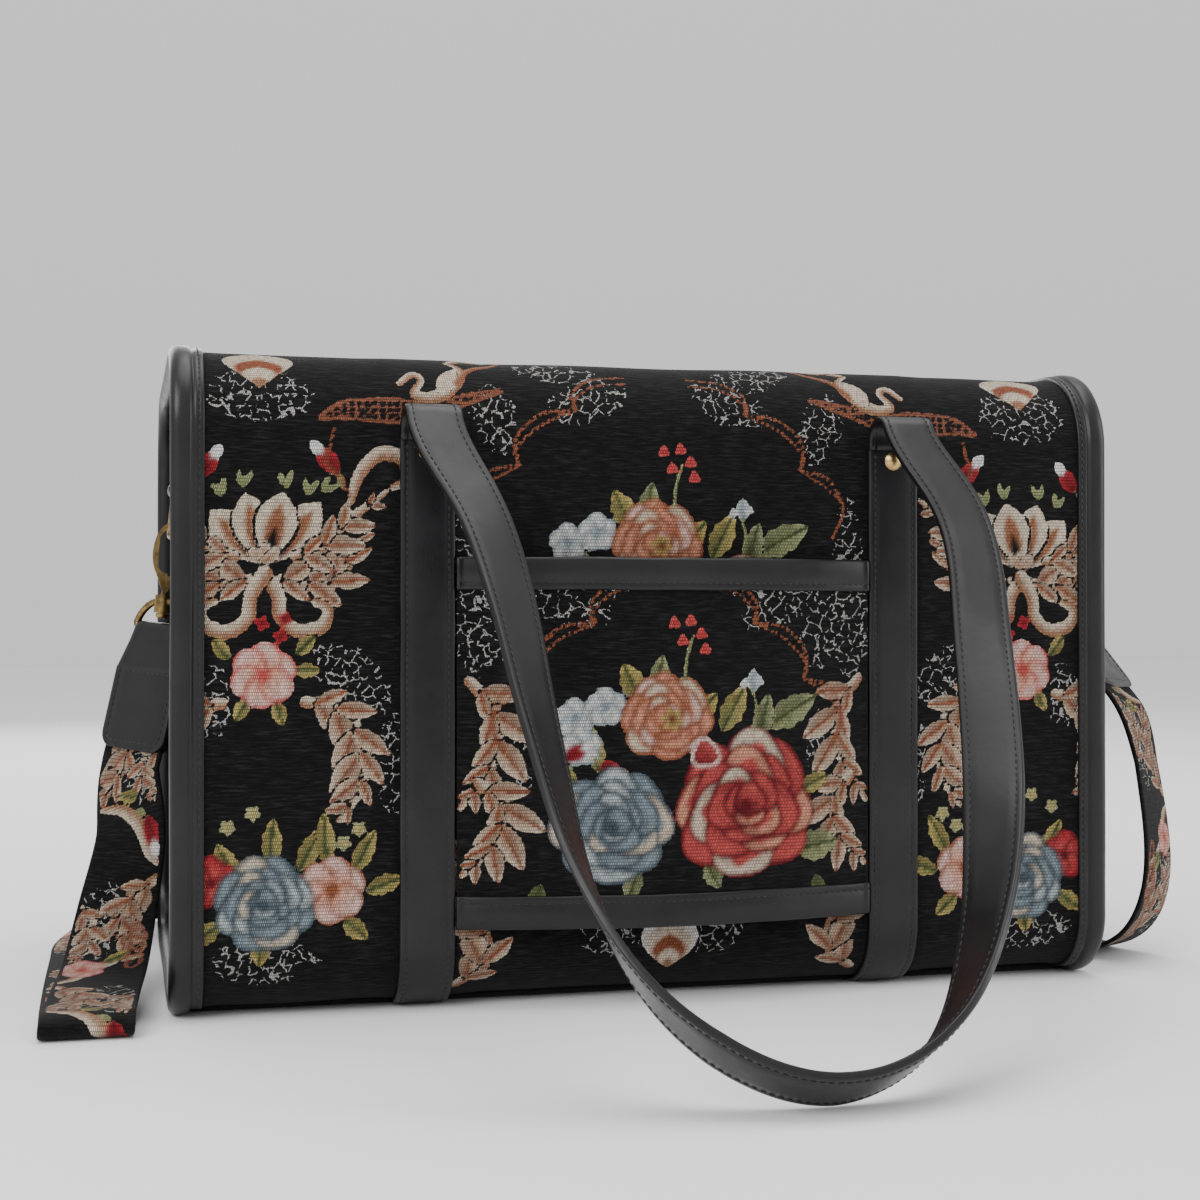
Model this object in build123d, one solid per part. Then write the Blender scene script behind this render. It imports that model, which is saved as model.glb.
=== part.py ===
from build123d import *
import math
import os

# A carpet bag: a tapestry body with leather trims, a trolley sleeve on its back,
# a leather handle on each long side and a shoulder strap clipped to its ends.
# Millimetres, +Z up. The origin is on the floor under the middle of the base.
# The back, with the trolley sleeve, faces -Y. The right end is at +X.

# Body
body_depth = 260.0
body_top = 300.0
top_corner_r = 37.0
bottom_corner_r = 30.0
panel_half_length = 216.0
panel_t = 4.0
base_t = 2.5
base_half_width = 100.0
board_clear = 0.5
seam_lap = 4.0
zip_gap_half = 13.0
lining_t = 0.8
lining_gap = 1.2
lining_slot_half = 16.0
end_panel_face = 213.0
end_panel_t = 3.0
cap_room = 1.2

# Leather binding round each end
piping_width = 10.0
piping_proud = 2.5
piping_depth = 6.0
piping_round = 3.4
band_width = 5.0
band_t = 1.4

# Mesh windows in the ends
window_width = 168.0
window_height = 170.0
window_low = 42.0
window_corner_r = 26.0
window_lap = 6.0
mesh_t = 1.2
window_trim_width = 9.0
window_trim_t = 1.4

# Sewn straps and carrying handles
strap_x = 112.5
strap_width = 25.0
strap_t = 2.5
strap_top = 260.7
strap_foot_gap = 0.2
rivet_z = 253.5
loop_t = 3.4
bend_r = 10.0
bend_z = 262.0
lean = 36.0
root_bevel = 22.0
loop_sections = 40
bend_steps = 9
# Each point of the free loop: across, distance down the leaning plane, twist of the strap
loop_points = [
    (-112.5, 0.0, 0.0),
    (-101.0, 42.0, 9.0),
    (-89.0, 110.0, 28.0),
    (-84.5, 185.0, 46.0),
    (-72.0, 253.0, 68.0),
    (-40.0, 302.0, 86.0),
    (6.0, 319.5, 90.0),
    (48.0, 302.0, 85.0),
    (80.0, 254.0, 60.0),
    (102.0, 188.0, 27.0),
    (118.0, 112.0, 9.0),
    (123.0, 42.0, 2.0),
    (112.5, 0.0, 0.0),
]

# Rivets
rivet_d = 9.0
rivet_high = 2.4
rivet_post_d = 3.0
rivet_back_d = 8.0
rivet_back_t = 1.0
hole_clear = 0.2

# Trolley sleeve
sleeve_half_width = 99.5
sleeve_low = 38.5
sleeve_high = 205.0
sleeve_t = 2.2
sleeve_bow = 16.0
sleeve_flange = 3.0
sleeve_binding_width = 14.0
sleeve_binding_t = 1.2
sleeve_inner_leaf = 84.0

# Zip
tape_half_length = 196.0
tape_outer = 22.0
teeth_inner = 0.6
teeth_outer = 3.4
teeth_high = 3.2
zip_tab_length = 24.0
zip_tab_half_width = 18.0
zip_tab_t = 1.6
slider_length = 17.0
slider_half_width = 5.5
slider_plate_t = 1.5
slider_clear = 0.3
bridge_half_t = 0.3
bridge_length = 4.0
slider_start_x = 160.0
lug_t = 2.4
lug_r = 2.0
pull_pin_d = 2.0
pull_length = 27.0
pull_t = 1.4
pull_half_width = 4.5
cheek_t = 1.2

# Bag rings in their leather loops
ring_wire = 4.0
ring_half_width = 15.0
ring_drop = 23.0
ring_corner_r = 4.0
ring_bar_x = 219.5
ring_bar_z = 242.6
left_ring_swing = 6.2
right_ring_swing = 25.0
left_hook_slide = 0.0
right_hook_slide = 33.0
chape_width = 21.0
chape_t = 3.0
chape_high = 286.0
chape_low = 252.0
chape_wall = 1.9
chape_rivet_z = 275.0
chape_rivet_d = 8.0

# Snap hooks, each in a frame of its own: origin under the barrel, axis up the hook
hook_t = 4.6
hook_half_width = 7.9
hook_top = 45.6
eye_half_width = 5.0
eye_low = 20.0
eye_high = 42.0
neck_half_width = 3.6
neck_low = 9.4
gate_t = 2.4
gate_slot_clear = 0.3
gate_pivot = (1.2, 15.6)
gate_pin_d = 2.2
gate_low = 18.6
gate_high = 37.2
gate_end_clear = 0.5
stem_d = 3.4
stem_clear = 0.3
stem_head_d = 6.2
stem_head_t = 2.4
barrel_d = 8.6
barrel_high = 9.0
wire_in_eye = 39.2

# Strap rings, tabs and shoulder strap
strap_ring_wire = 3.6
strap_ring_half = 17.8
strap_ring_top = 6.4
strap_ring_bar = -8.0
strap_ring_corner_r = 2.2
ring_turn = 48.0
tab_top_half = 14.4
tab_half_width = 22.5
tab_t = 6.6
tab_shoulder = 20.0
tab_length = 62.0
tab_corner_r = 8.0
tab_bore_clear = 0.2
pocket_depth = 26.0
pocket_clear = 0.15
left_tab_lean = 8.0
right_tab_lean = 0.0
shoulder_width = 40.0
shoulder_t = 2.4
shoulder_steps = 4
ribbon_run = 37
mouth_run = 9.0
floor_gap = 0.1
# The shoulder strap between its two tabs: a point on its middle line and the way its
# right-hand edge lies. It folds under itself at the left, stands on edge round the far
# corners and lies flat between them, all on the floor.
shoulder_route = [
    ((-241.5, -18.0, 76.0), (0.78, -0.62, 0.0)),
    ((-247.0, -30.0, 42.0), (0.92, -0.38, 0.0)),
    ((-252.5, -54.0, 18.5), (0.98, -0.20, 0.0)),
    ((-257.0, -94.0, 11.0), (1.0, -0.08, 0.0)),
    ((-259.5, -132.0, 9.6), (1.0, -0.04, 0.0)),
    ((-260.0, -145.5, 8.6), (1.0, 0.0, 0.0)),
    ((-260.3, -150.2, 5.0), (1.0, 0.0, 0.0)),
    ((-260.6, -145.5, 1.7), (1.0, 0.0, 0.0)),
    ((-261.0, -130.0, 1.4), (1.0, 0.0, 0.0)),
    ((-262.0, -70.0, 1.4), (1.0, 0.0, 0.0)),
    ((-262.0, 10.0, 1.4), (1.0, 0.0, 0.0)),
    ((-262.0, 70.0, 4.7), (0.98, 0.0, 0.16)),
    ((-259.0, 118.0, 16.6), (0.64, 0.0, 0.77)),
    ((-242.0, 152.0, 21.0), (0.12, -0.12, 0.99)),
    ((-208.0, 172.0, 21.0), (0.0, -0.12, 0.99)),
    ((-160.0, 180.0, 17.5), (0.0, -0.60, 0.80)),
    ((-104.0, 184.0, 5.8), (0.0, -0.97, 0.22)),
    ((-40.0, 190.0, 1.4), (-0.05, -1.0, 0.0)),
    ((40.0, 188.0, 1.4), (0.05, -1.0, 0.0)),
    ((104.0, 182.0, 5.8), (0.0, -0.97, 0.22)),
    ((158.0, 178.0, 17.5), (0.0, -0.60, 0.80)),
    ((206.0, 172.0, 21.0), (0.0, -0.12, 0.99)),
    ((238.0, 152.0, 21.0), (-0.12, -0.12, 0.99)),
    ((254.0, 118.0, 16.6), (-0.64, 0.0, 0.77)),
    ((256.0, 70.0, 4.7), (-0.98, 0.0, 0.16)),
    ((253.0, 20.0, 1.4), (-1.0, 0.0, 0.0)),
    ((252.0, -25.0, 1.4), (-0.98, -0.20, 0.0)),
    ((260.0, -60.0, 3.0), (-0.86, -0.50, 0.0)),
    ((271.0, -80.0, 15.0), (-0.80, -0.60, 0.0)),
    ((277.5, -89.0, 40.0), (-0.76, -0.65, 0.0)),
    ((278.5, -87.0, 72.0), (-0.72, -0.69, 0.0)),
    ((278.0, -79.0, 102.0), (-0.70, -0.71, 0.0)),
]

parts = {}
body_low = base_t
body_mid_z = (body_low + body_top) / 2
back_y = -body_depth / 2


def body_profile(grow):
    """The rounded section of the body, larger all round by grow."""
    outline = Plane.YZ * Pos(0, body_mid_z) * Rectangle(
        body_depth + 2 * grow, body_top - body_low + 2 * grow
    )
    by_height = outline.vertices().sort_by(Axis.Z)
    outline = fillet(by_height[-2:], top_corner_r + grow)
    by_height = outline.vertices().sort_by(Axis.Z)
    return fillet(by_height[:2], bottom_corner_r + grow)


def along_x(face, x_from, x_to):
    """Extrudes a face that lies in the YZ plane, between two places along X."""
    return Pos(x_from, 0, 0) * extrude(face, amount=x_to - x_from, dir=(1, 0, 0))


def box_between(x, y, z):
    """A box from three pairs of limits."""
    return Pos((x[0] + x[1]) / 2, (y[0] + y[1]) / 2, (z[0] + z[1]) / 2) * Box(
        x[1] - x[0], y[1] - y[0], z[1] - z[0]
    )


def tube_x(x_from, x_to, outer, inner):
    """A stretch of the body's skin between two offsets of its section."""
    return along_x(body_profile(outer) - body_profile(inner), x_from, x_to)


def ribbon(stations, width, thick):
    """A flat strap through (point, direction, width direction) stations."""
    wires = []
    for point, direction, across in stations:
        plane = Plane(origin=point, x_dir=across, z_dir=direction)
        wires.append((plane * Rectangle(width, thick)).wire())
    strap = None
    for first in range(0, len(wires) - 1, ribbon_run):
        run = Solid.make_loft(wires[first : first + ribbon_run + 1], ruled=True)
        strap = run if strap is None else strap + run
    return strap


# Body panels
rivet_hole = Cylinder(rivet_post_d / 2 + hole_clear, 20)
rivet_holes = [
    Pos(side * strap_x, face * -back_y, rivet_z) * Rot(90, 0, 0) * rivet_hole
    for side in (-1, 1)
    for face in (-1, 1)
]
skin = tube_x(-panel_half_length, panel_half_length, 0, -panel_t)
big = 2 * body_top
zip_slot = box_between((-big, big), (-zip_gap_half, zip_gap_half), (body_mid_z, big))
base_slot = box_between(
    (-big, big),
    (seam_lap - base_half_width, base_half_width - seam_lap),
    (-big, body_mid_z),
)
skin = skin - zip_slot - base_slot
for hole in rivet_holes:
    skin = skin - hole
half_space = box_between((-big, big), (-big, 0), (-big, big))
parts["back_panel"] = skin & half_space
parts["front_panel"] = skin - half_space
parts["base_panel"] = box_between(
    (-panel_half_length, panel_half_length),
    (-base_half_width, base_half_width),
    (0, base_t),
)
board_half = base_half_width - seam_lap - board_clear
board_half_length = end_panel_face - end_panel_t - board_clear
parts["base_board"] = box_between(
    (-board_half_length, board_half_length),
    (-board_half, board_half),
    (base_t, base_t + panel_t + lining_gap),
)

# Lining: an inner bag with a slot along its top
lining_half = end_panel_face - end_panel_t - cap_room
lining_offset = -panel_t - lining_gap
lining_outer = along_x(body_profile(lining_offset), -lining_half, lining_half)
lining_inner = along_x(
    body_profile(lining_offset - lining_t), lining_t - lining_half, lining_half - lining_t
)
lining_slot = box_between(
    (-tape_half_length, tape_half_length), (-lining_slot_half, lining_slot_half), (body_mid_z, big)
)
parts["lining"] = lining_outer - lining_inner - lining_slot


def window_shape(grow):
    """The window's rounded outline in the end, larger all round by grow."""
    outline = Plane.YZ * Pos(0, window_low + window_height / 2) * Rectangle(
        window_width + 2 * grow, window_height + 2 * grow
    )
    return fillet(outline.vertices(), window_corner_r + grow)


def rivet(cap_d, grip):
    """A domed rivet along Z: its cap's flat side at 0, its post down to -grip, a back cap below."""
    dome_r = (cap_d**2 / 4 + rivet_high**2) / (2 * rivet_high)
    dome = Pos(0, 0, rivet_high - dome_r) * Sphere(dome_r)
    cap = dome & Pos(0, 0, rivet_high / 2) * Cylinder(cap_d / 2, rivet_high)
    post = Pos(0, 0, -grip / 2) * Cylinder(rivet_post_d / 2, grip)
    back = Pos(0, 0, -grip - rivet_back_t / 2) * Cylinder(rivet_back_d / 2, rivet_back_t)
    return cap + post + back


def end_pieces(side, name):
    """The pieces that close one end of the bag. side is -1 at the left, 1 at the right."""

    def span(face, near, far):
        return along_x(face, min(side * near, side * far), max(side * near, side * far))

    inner_face = end_panel_face - end_panel_t
    panel = span(body_profile(-panel_t), inner_face, end_panel_face)
    panel = panel - span(window_shape(0), inner_face - 1, end_panel_face + 1)
    recess = span(window_shape(window_lap), inner_face - 1, inner_face + mesh_t)
    post_hole = Pos(side * end_panel_face, 0, chape_rivet_z) * Rot(0, 90, 0) * rivet_hole
    parts[name + "_end_panel"] = panel - recess - post_hole
    parts[name + "_mesh_window"] = span(window_shape(window_lap), inner_face, inner_face + mesh_t)
    trim = window_shape(window_trim_width) - window_shape(0)
    parts[name + "_window_trim"] = span(trim, end_panel_face, end_panel_face + window_trim_t)

    piping_near = panel_half_length
    piping_far = panel_half_length + piping_width
    piping = span(body_profile(piping_proud) - body_profile(-piping_depth), piping_near, piping_far)
    rims = piping.edges().filter_by(lambda e: abs(e.center().X - side * piping_far) < 0.01)
    piping = fillet(rims, piping_round)
    band = span(body_profile(band_t) - body_profile(0), piping_near - band_width, piping_near)
    under = box_between((-big, big), (-base_half_width, base_half_width), (0, base_t))
    parts[name + "_end_binding"] = piping + (band - under)

    bar = Pos(side * ring_bar_x, 0, ring_bar_z) * Rot(90, 0, 0)
    loop_r = ring_wire / 2 + hole_clear + chape_wall
    reach = ring_bar_x - end_panel_face
    root = Pos(chape_t / 2, (chape_low + chape_high) / 2 - 9) * Rectangle(chape_t, 14)
    knuckle = Pos(reach, ring_bar_z) * Circle(loop_r)
    fold = make_hull(root.edges() + knuckle.edges())
    leaf = Pos(chape_t / 2, (chape_low + chape_high) / 2) * Rectangle(chape_t, chape_high - chape_low)
    section = Plane(origin=(side * end_panel_face, 0, 0), x_dir=(side, 0, 0), z_dir=(0, -side, 0))
    chape = extrude(section * (fold + leaf), amount=chape_width / 2, both=True)
    bore = bar * Cylinder(ring_wire / 2 + hole_clear, chape_width + 2)
    chape_hole = Pos(side * end_panel_face, 0, chape_rivet_z) * Rot(0, 90, 0) * rivet_hole
    parts[name + "_ring_chape"] = chape - bore - chape_hole
    turn = Rot(0, side * 90, 0)
    seat = Pos(side * (end_panel_face + chape_t), 0, chape_rivet_z)
    return seat * turn * rivet(chape_rivet_d, chape_t + end_panel_t)


chape_rivets = [end_pieces(-1, "left"), end_pieces(1, "right")]
parts["chape_rivets"] = Compound(children=[r.solid() for r in chape_rivets])


# Sewn straps, handle loops and their rivets
def sewn_strap(side):
    """A strap sewn to the back, from its stitched top to the base seam."""
    band = tube_x(
        side * strap_x - strap_width / 2, side * strap_x + strap_width / 2, strap_t, 0
    )
    keep = box_between((-big, big), (-big, -base_half_width - strap_foot_gap), (-big, strap_top))
    hole = Pos(side * strap_x, back_y, rivet_z) * Rot(90, 0, 0) * rivet_hole
    return (band & keep) - hole


# The bend turns the strap from straight up to its lean outwards and down
bend_turn = 180.0 - lean
bend_centre = Vector(0, back_y - loop_t / 2 - bend_r, bend_z)
lean_sin = math.sin(math.radians(lean))
lean_cos = math.cos(math.radians(lean))
down = Vector(0, -lean_sin, -lean_cos)
outward = Vector(0, -lean_cos, lean_sin)


def stepped(marks, values, place):
    """The value at a place along a curve, between the two nearest marks."""
    spans = list(zip(marks, marks[1:], values, values[1:]))
    for low, high, before, after in spans:
        if place <= high:
            break
    share = min(max((place - low) / (high - low), 0.0), 1.0)
    return before + (after - before) * share


def bend_run(end):
    """Stations round the bend at one end of the back handle, from the stitching outwards."""
    run = []
    for step in range(bend_steps):
        angle = math.radians(bend_turn * step / bend_steps)
        arc = Vector(0, math.cos(angle), math.sin(angle)) * bend_r
        point = bend_centre + Vector(end * strap_x, 0, 0) + arc
        direction = Vector(0, -math.sin(angle), math.cos(angle))
        run.append((point, direction * -end, Vector(end, 0, 0)))
    bevel = math.radians(root_bevel)
    run[0] = (run[0][0], Vector(0, -math.sin(bevel), math.cos(bevel)) * -end, run[0][2])
    return run


def back_handle():
    """The back handle: up from the stitching, over a bend and down its leaning plane."""
    top = bend_centre + Vector(0, -lean_cos, lean_sin) * bend_r
    points = [top + Vector(x, 0, 0) + down * drop for x, drop, _ in loop_points]
    curve = Spline(points, tangents=[tuple(down), tuple(-down)])
    marks = [curve.param_at_point(point) for point in points]
    twists = [twist for _, _, twist in loop_points]
    middle = []
    for step in range(loop_sections + 1):
        place = step / loop_sections
        direction = curve.tangent_at(place)
        twist = math.radians(stepped(marks, twists, place))
        outer = direction.cross(outward)
        across = outer * math.cos(twist) + outward * math.sin(twist)
        middle.append((curve.position_at(place), direction, across))
    return ribbon(bend_run(-1) + middle + bend_run(1)[::-1], strap_width, loop_t)


def facing(face, piece):
    """The piece as it is on the back, or mirrored to the front when face is 1."""
    return mirror(piece, about=Plane.XZ) if face > 0 else piece


handle = back_handle()
handle_rivets = []
for face, face_name in ((-1, "back"), (1, "front")):
    for side, side_name in ((-1, "left"), (1, "right")):
        parts[face_name + "_strap_" + side_name] = facing(face, sewn_strap(side))
        seat = Pos(side * strap_x, back_y - strap_t, rivet_z) * Rot(90, 0, 0)
        handle_rivets.append(facing(face, seat * rivet(rivet_d, strap_t + panel_t)))
    parts[face_name + "_handle_loop"] = facing(face, handle)
parts["handle_rivets"] = Compound(children=[r.solid() for r in handle_rivets])


# Trolley sleeve: a bowed panel, open at its top and bottom, bound in leather at both
def sleeve_face(inner, outer, half):
    """The sleeve's section between two distances off the inside of its bow, within half of the middle."""
    flat = sleeve_half_width - sleeve_flange

    def bow(off):
        return ThreePointArc((-flat, off), (0, sleeve_bow - sleeve_t + off), (flat, off))

    far, near = bow(outer), bow(inner)
    ends = [Line(far @ 0, near @ 0), Line(far @ 1, near @ 1)]
    arch = make_face([far, near] + ends)
    return arch & (Pos(0, sleeve_bow / 2) * Rectangle(2 * half, 3 * sleeve_bow))


def flange(side, thick):
    """The flat foot of the sleeve's section at one side, with its inner face on the back."""
    return Pos(side * (sleeve_half_width - sleeve_flange / 2), thick / 2) * Rectangle(sleeve_flange, thick)


def sleeve_block(section, low, high):
    """A section of the sleeve as a solid between two heights."""
    base = Plane(origin=(0, back_y, low), x_dir=(-1, 0, 0), z_dir=(0, 0, 1))
    return extrude(base * section, amount=high - low)


half_sleeve = sleeve_half_width - sleeve_flange
sleeve = sleeve_face(0, sleeve_t, half_sleeve) + flange(-1, sleeve_t) + flange(1, sleeve_t)
parts["trolley_sleeve"] = sleeve_block(sleeve, sleeve_low, sleeve_high)
skin_t = sleeve_t + sleeve_binding_t
leaf_face = sleeve_face(sleeve_t, skin_t, half_sleeve)
foot_gap = Pos(0, sleeve_t) * (flange(-1, sleeve_binding_t) + flange(1, sleeve_binding_t))
outer_leaf = leaf_face + foot_gap
inner_leaf = sleeve_face(-sleeve_binding_t, 0, sleeve_inner_leaf)
cap_leaf = sleeve_face(-sleeve_binding_t, skin_t, sleeve_inner_leaf)
for low, cap_low, name in (
    (sleeve_high - sleeve_binding_width, sleeve_high, "top"),
    (sleeve_low, sleeve_low - sleeve_binding_t, "bottom"),
):
    leaves = sleeve_block(outer_leaf + inner_leaf, low, low + sleeve_binding_width)
    cap = sleeve_block(cap_leaf, cap_low, cap_low + sleeve_binding_t)
    parts["sleeve_binding_" + name] = leaves + cap


# Zip along the top: a tape and a chain of teeth each side, and a slider
tape_top = body_top - panel_t
tape_low = tape_top - lining_gap
tape_mid = (tape_top + tape_low) / 2
for face, face_name in ((-1, "back"), (1, "front")):
    strip = box_between(
        (-tape_half_length, tape_half_length), (teeth_outer, tape_outer), (tape_low, tape_top)
    )
    chain_z = (tape_mid - teeth_high / 2, tape_mid + teeth_high / 2)
    chain_half = panel_half_length - band_width - zip_tab_length
    chain = box_between((-chain_half, chain_half), (teeth_inner, teeth_outer), chain_z)
    if face < 0:
        strip = mirror(strip, about=Plane.XZ)
        chain = mirror(chain, about=Plane.XZ)
    parts["zip_tape_" + face_name] = strip
    parts["zip_teeth_" + face_name] = chain
for side, side_name in ((-1, "left"), (1, "right")):
    outer_end = panel_half_length - band_width
    ends = sorted((side * outer_end, side * (outer_end - zip_tab_length)))
    tab = box_between(ends, (-zip_tab_half_width, zip_tab_half_width), (body_top, body_top + zip_tab_t))
    parts["zip_tab_" + side_name] = tab

chain_top = tape_mid + teeth_high / 2
chain_low = tape_mid - teeth_high / 2
plate_low = chain_top + slider_clear
plate_top = plate_low + slider_plate_t
pin_z = plate_top + lug_r + 0.1


def slider_plate(low):
    """One of the slider's two plates, with rounded corners."""
    blank = Box(slider_length, 2 * slider_half_width, slider_plate_t)
    rounded = fillet(blank.edges().filter_by(Axis.Z), 3.0)
    return Pos(slider_start_x, 0, low + slider_plate_t / 2) * rounded


bridge = box_between(
    (slider_start_x + 2, slider_start_x + 2 + bridge_length),
    (-bridge_half_t, bridge_half_t),
    (chain_low - slider_clear, plate_low),
)
pin_place = Pos(slider_start_x, 0, pin_z) * Rot(90, 0, 0)
lug = pin_place * Cylinder(lug_r, lug_t) + box_between(
    (slider_start_x - lug_r, slider_start_x + lug_r), (-lug_t / 2, lug_t / 2), (plate_top, pin_z)
)
bored_lug = lug - pin_place * Cylinder(pull_pin_d / 2 + hole_clear, lug_t + 2)
under_plate = slider_plate(chain_low - slider_clear - slider_plate_t)
parts["zip_slider"] = slider_plate(plate_low) + under_plate + bridge + bored_lug
cheek_inner = lug_t / 2 + slider_clear
cheek_outer = cheek_inner + cheek_t
cheeks = pin_place * (Cylinder(lug_r - 0.1, 2 * cheek_outer) - Cylinder(lug_r, 2 * cheek_inner))
web_start = slider_start_x - lug_r - slider_clear
pull_height = (pin_z - pull_t / 2, pin_z + pull_t / 2)
web = box_between(
    (slider_start_x - pull_length, web_start), (-pull_half_width, pull_half_width), pull_height
)
web = fillet(web.edges().filter_by(Axis.Z).group_by(Axis.X)[0], 3.0)
arms = box_between((web_start - 1, slider_start_x), (-cheek_outer, cheek_outer), pull_height)
fork = box_between((web_start, slider_start_x + 1), (-cheek_inner, cheek_inner), (pin_z - 5, pin_z + 5))
arms = arms - fork
pull_pin = pin_place * Cylinder(pull_pin_d / 2, 2 * cheek_outer)
parts["zip_pull"] = web + arms + cheeks + pull_pin


# Bag rings, snap hooks, strap rings and tabs
def bent_wire(outline, wire_d):
    """A closed ring of round wire along an outline."""
    path = outline.wire()
    start = path.position_at(0)
    disc = Plane(origin=start, z_dir=path.tangent_at(0)) * Circle(wire_d / 2)
    return sweep(disc, path=path, transition=Transition.ROUND)


def bag_ring():
    """A ring hanging from its straight bar: the bar along Y through the origin, the arc below."""
    low = ring_half_width - ring_drop
    outline = make_face(
        [
            Line((-ring_half_width, 0), (ring_half_width, 0)),
            Line((ring_half_width, 0), (ring_half_width, low)),
            ThreePointArc((ring_half_width, low), (0, -ring_drop), (-ring_half_width, low)),
            Line((-ring_half_width, low), (-ring_half_width, 0)),
        ]
    )
    corners = outline.vertices().sort_by(Axis.Y)[-2:]
    return bent_wire(Plane.YZ * fillet(corners, ring_corner_r), ring_wire)


def hook_plate(outline, thick):
    """A flat piece of the hook: an outline in the hook's own plane, made thick both ways."""
    return extrude(Plane.XZ * outline, amount=thick / 2, both=True)


def hook_pieces():
    """The hook, its gate and its pin, upright, with the gate on the +X side."""
    eye_mid = (eye_low + eye_high) / 2
    outer = Pos(0, (eye_low - 4 + hook_top) / 2) * Ellipse(hook_half_width, (hook_top - eye_low + 4) / 2)
    neck = Pos(0, (neck_low + eye_low) / 2 + 2) * Trapezoid(
        2 * hook_half_width - 1.6, eye_low - neck_low + 4, 66, rotation=180
    )
    eye = Pos(0, eye_mid) * SlotOverall(eye_high - eye_low, 2 * eye_half_width, rotation=90)
    body = hook_plate(outer + neck - eye, hook_t)
    body = body & Pos(0, 0, (neck_low + hook_top) / 2) * Box(40, 40, hook_top - neck_low)
    opening = box_between((0.4, 20), (-10, 10), (gate_low, gate_high))
    slot_half = gate_t / 2 + gate_slot_clear
    slot = box_between((-2.2, 20), (-slot_half, slot_half), (gate_pivot[1] - 4.2, gate_low + 4))
    pivot = Pos(gate_pivot[0], 0, gate_pivot[1]) * Rot(90, 0, 0)
    pin = pivot * Cylinder(gate_pin_d / 2, hook_t + 0.6)
    head_z = -stem_clear - stem_head_t
    upright = (Align.CENTER, Align.CENTER, Align.MIN)
    head = Pos(0, 0, head_z) * Cylinder(stem_head_d / 2, stem_head_t, align=upright)
    head = fillet(head.edges().sort_by(Axis.Z)[0], 1.6)
    stem = Cylinder(stem_d / 2, neck_low + 1.6, align=upright)
    stem = Pos(0, 0, -stem_clear - 0.2) * stem
    hook = body - opening - slot - pivot * Cylinder(gate_pin_d / 2, 20) + stem + head
    rim_half_height = (hook_top - eye_low + 4) / 2
    reach = Pos(0, (eye_low - 4 + hook_top) / 2) * Ellipse(hook_half_width - 0.4, rim_half_height - 0.4)
    window = Pos(0, eye_mid) * SlotOverall(eye_high - eye_low + 2, 2 * eye_half_width + 0.6, rotation=90)
    lever = hook_plate(reach - window, gate_t) & box_between(
        (2.0, 20), (-10, 10), (gate_pivot[1] - 2, gate_high - gate_end_clear)
    )
    tail = hook_plate(Pos(gate_pivot[0], gate_pivot[1]) * Circle(2.8), gate_t)
    foot_height = (gate_pivot[1] - 2, gate_pivot[1] + 2.6)
    foot = box_between((gate_pivot[0], 6.6), (-gate_t / 2, gate_t / 2), foot_height)
    gate = lever + tail + foot - pivot * Cylinder(gate_pin_d / 2 + 0.1, 20)
    return hook, gate, pin


def strap_ring():
    """The ring under the hook: a barrel for the hook's stem and a wire bow to its bar."""
    bow = make_face(
        [
            Line((-strap_ring_half, strap_ring_bar), (strap_ring_half, strap_ring_bar)),
            ThreePointArc(
                (strap_ring_half, strap_ring_bar), (0, strap_ring_top), (-strap_ring_half, strap_ring_bar)
            ),
        ]
    )
    bow = fillet(bow.vertices(), strap_ring_corner_r)
    wire = bent_wire(Plane.XZ * bow, strap_ring_wire)
    barrel = Pos(0, 0, barrel_high / 2) * Cylinder(barrel_d / 2, barrel_high)
    bore = Cylinder(stem_d / 2 + stem_clear, 3 * barrel_high)
    return wire + barrel - bore


def strap_tab():
    """The leather tab, hanging from the strap ring's bar, which is the origin here."""
    top = tab_t / 2
    outline = Polygon(
        (-tab_top_half, top),
        (tab_top_half, top),
        (tab_half_width, -tab_shoulder),
        (tab_half_width, -tab_length),
        (-tab_half_width, -tab_length),
        (-tab_half_width, -tab_shoulder),
        align=None,
    )
    low = outline.vertices().sort_by(Axis.Y)[:2]
    outline = fillet(low, tab_corner_r)
    blank = extrude(Plane.XZ * outline, amount=tab_t / 2, both=True)
    top_edges = blank.edges().filter_by(Axis.X).sort_by(Axis.Z)[-2:]
    blank = fillet(top_edges, tab_t / 2 - 0.1)
    bore = Rot(0, 90, 0) * Cylinder(strap_ring_wire / 2 + tab_bore_clear, 4 * tab_half_width)
    pocket = box_between(
        (-shoulder_width / 2 - pocket_clear, shoulder_width / 2 + pocket_clear),
        (-shoulder_t / 2 - pocket_clear, shoulder_t / 2 + pocket_clear),
        (-tab_length - 1, pocket_depth - tab_length),
    )
    return blank - bore - pocket


def hook_place(side, swing, slide):
    """The hook's frame: hung on its ring's bow, slide degrees round it towards the back."""
    swing, slide = math.radians(swing), math.radians(slide)
    bar = Vector(side * ring_bar_x, 0, ring_bar_z)
    fall = Vector(side * math.sin(swing), 0, -math.cos(swing))
    back = Vector(0, -1, 0)
    pull = fall * math.cos(slide) + back * math.sin(slide)
    along_wire = back * math.cos(slide) - fall * math.sin(slide)
    touch = bar + fall * (ring_drop - ring_half_width) + pull * ring_half_width
    normal = along_wire * side
    return Plane(origin=touch + pull * wire_in_eye, x_dir=normal.cross(-pull), z_dir=-pull)


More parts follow.
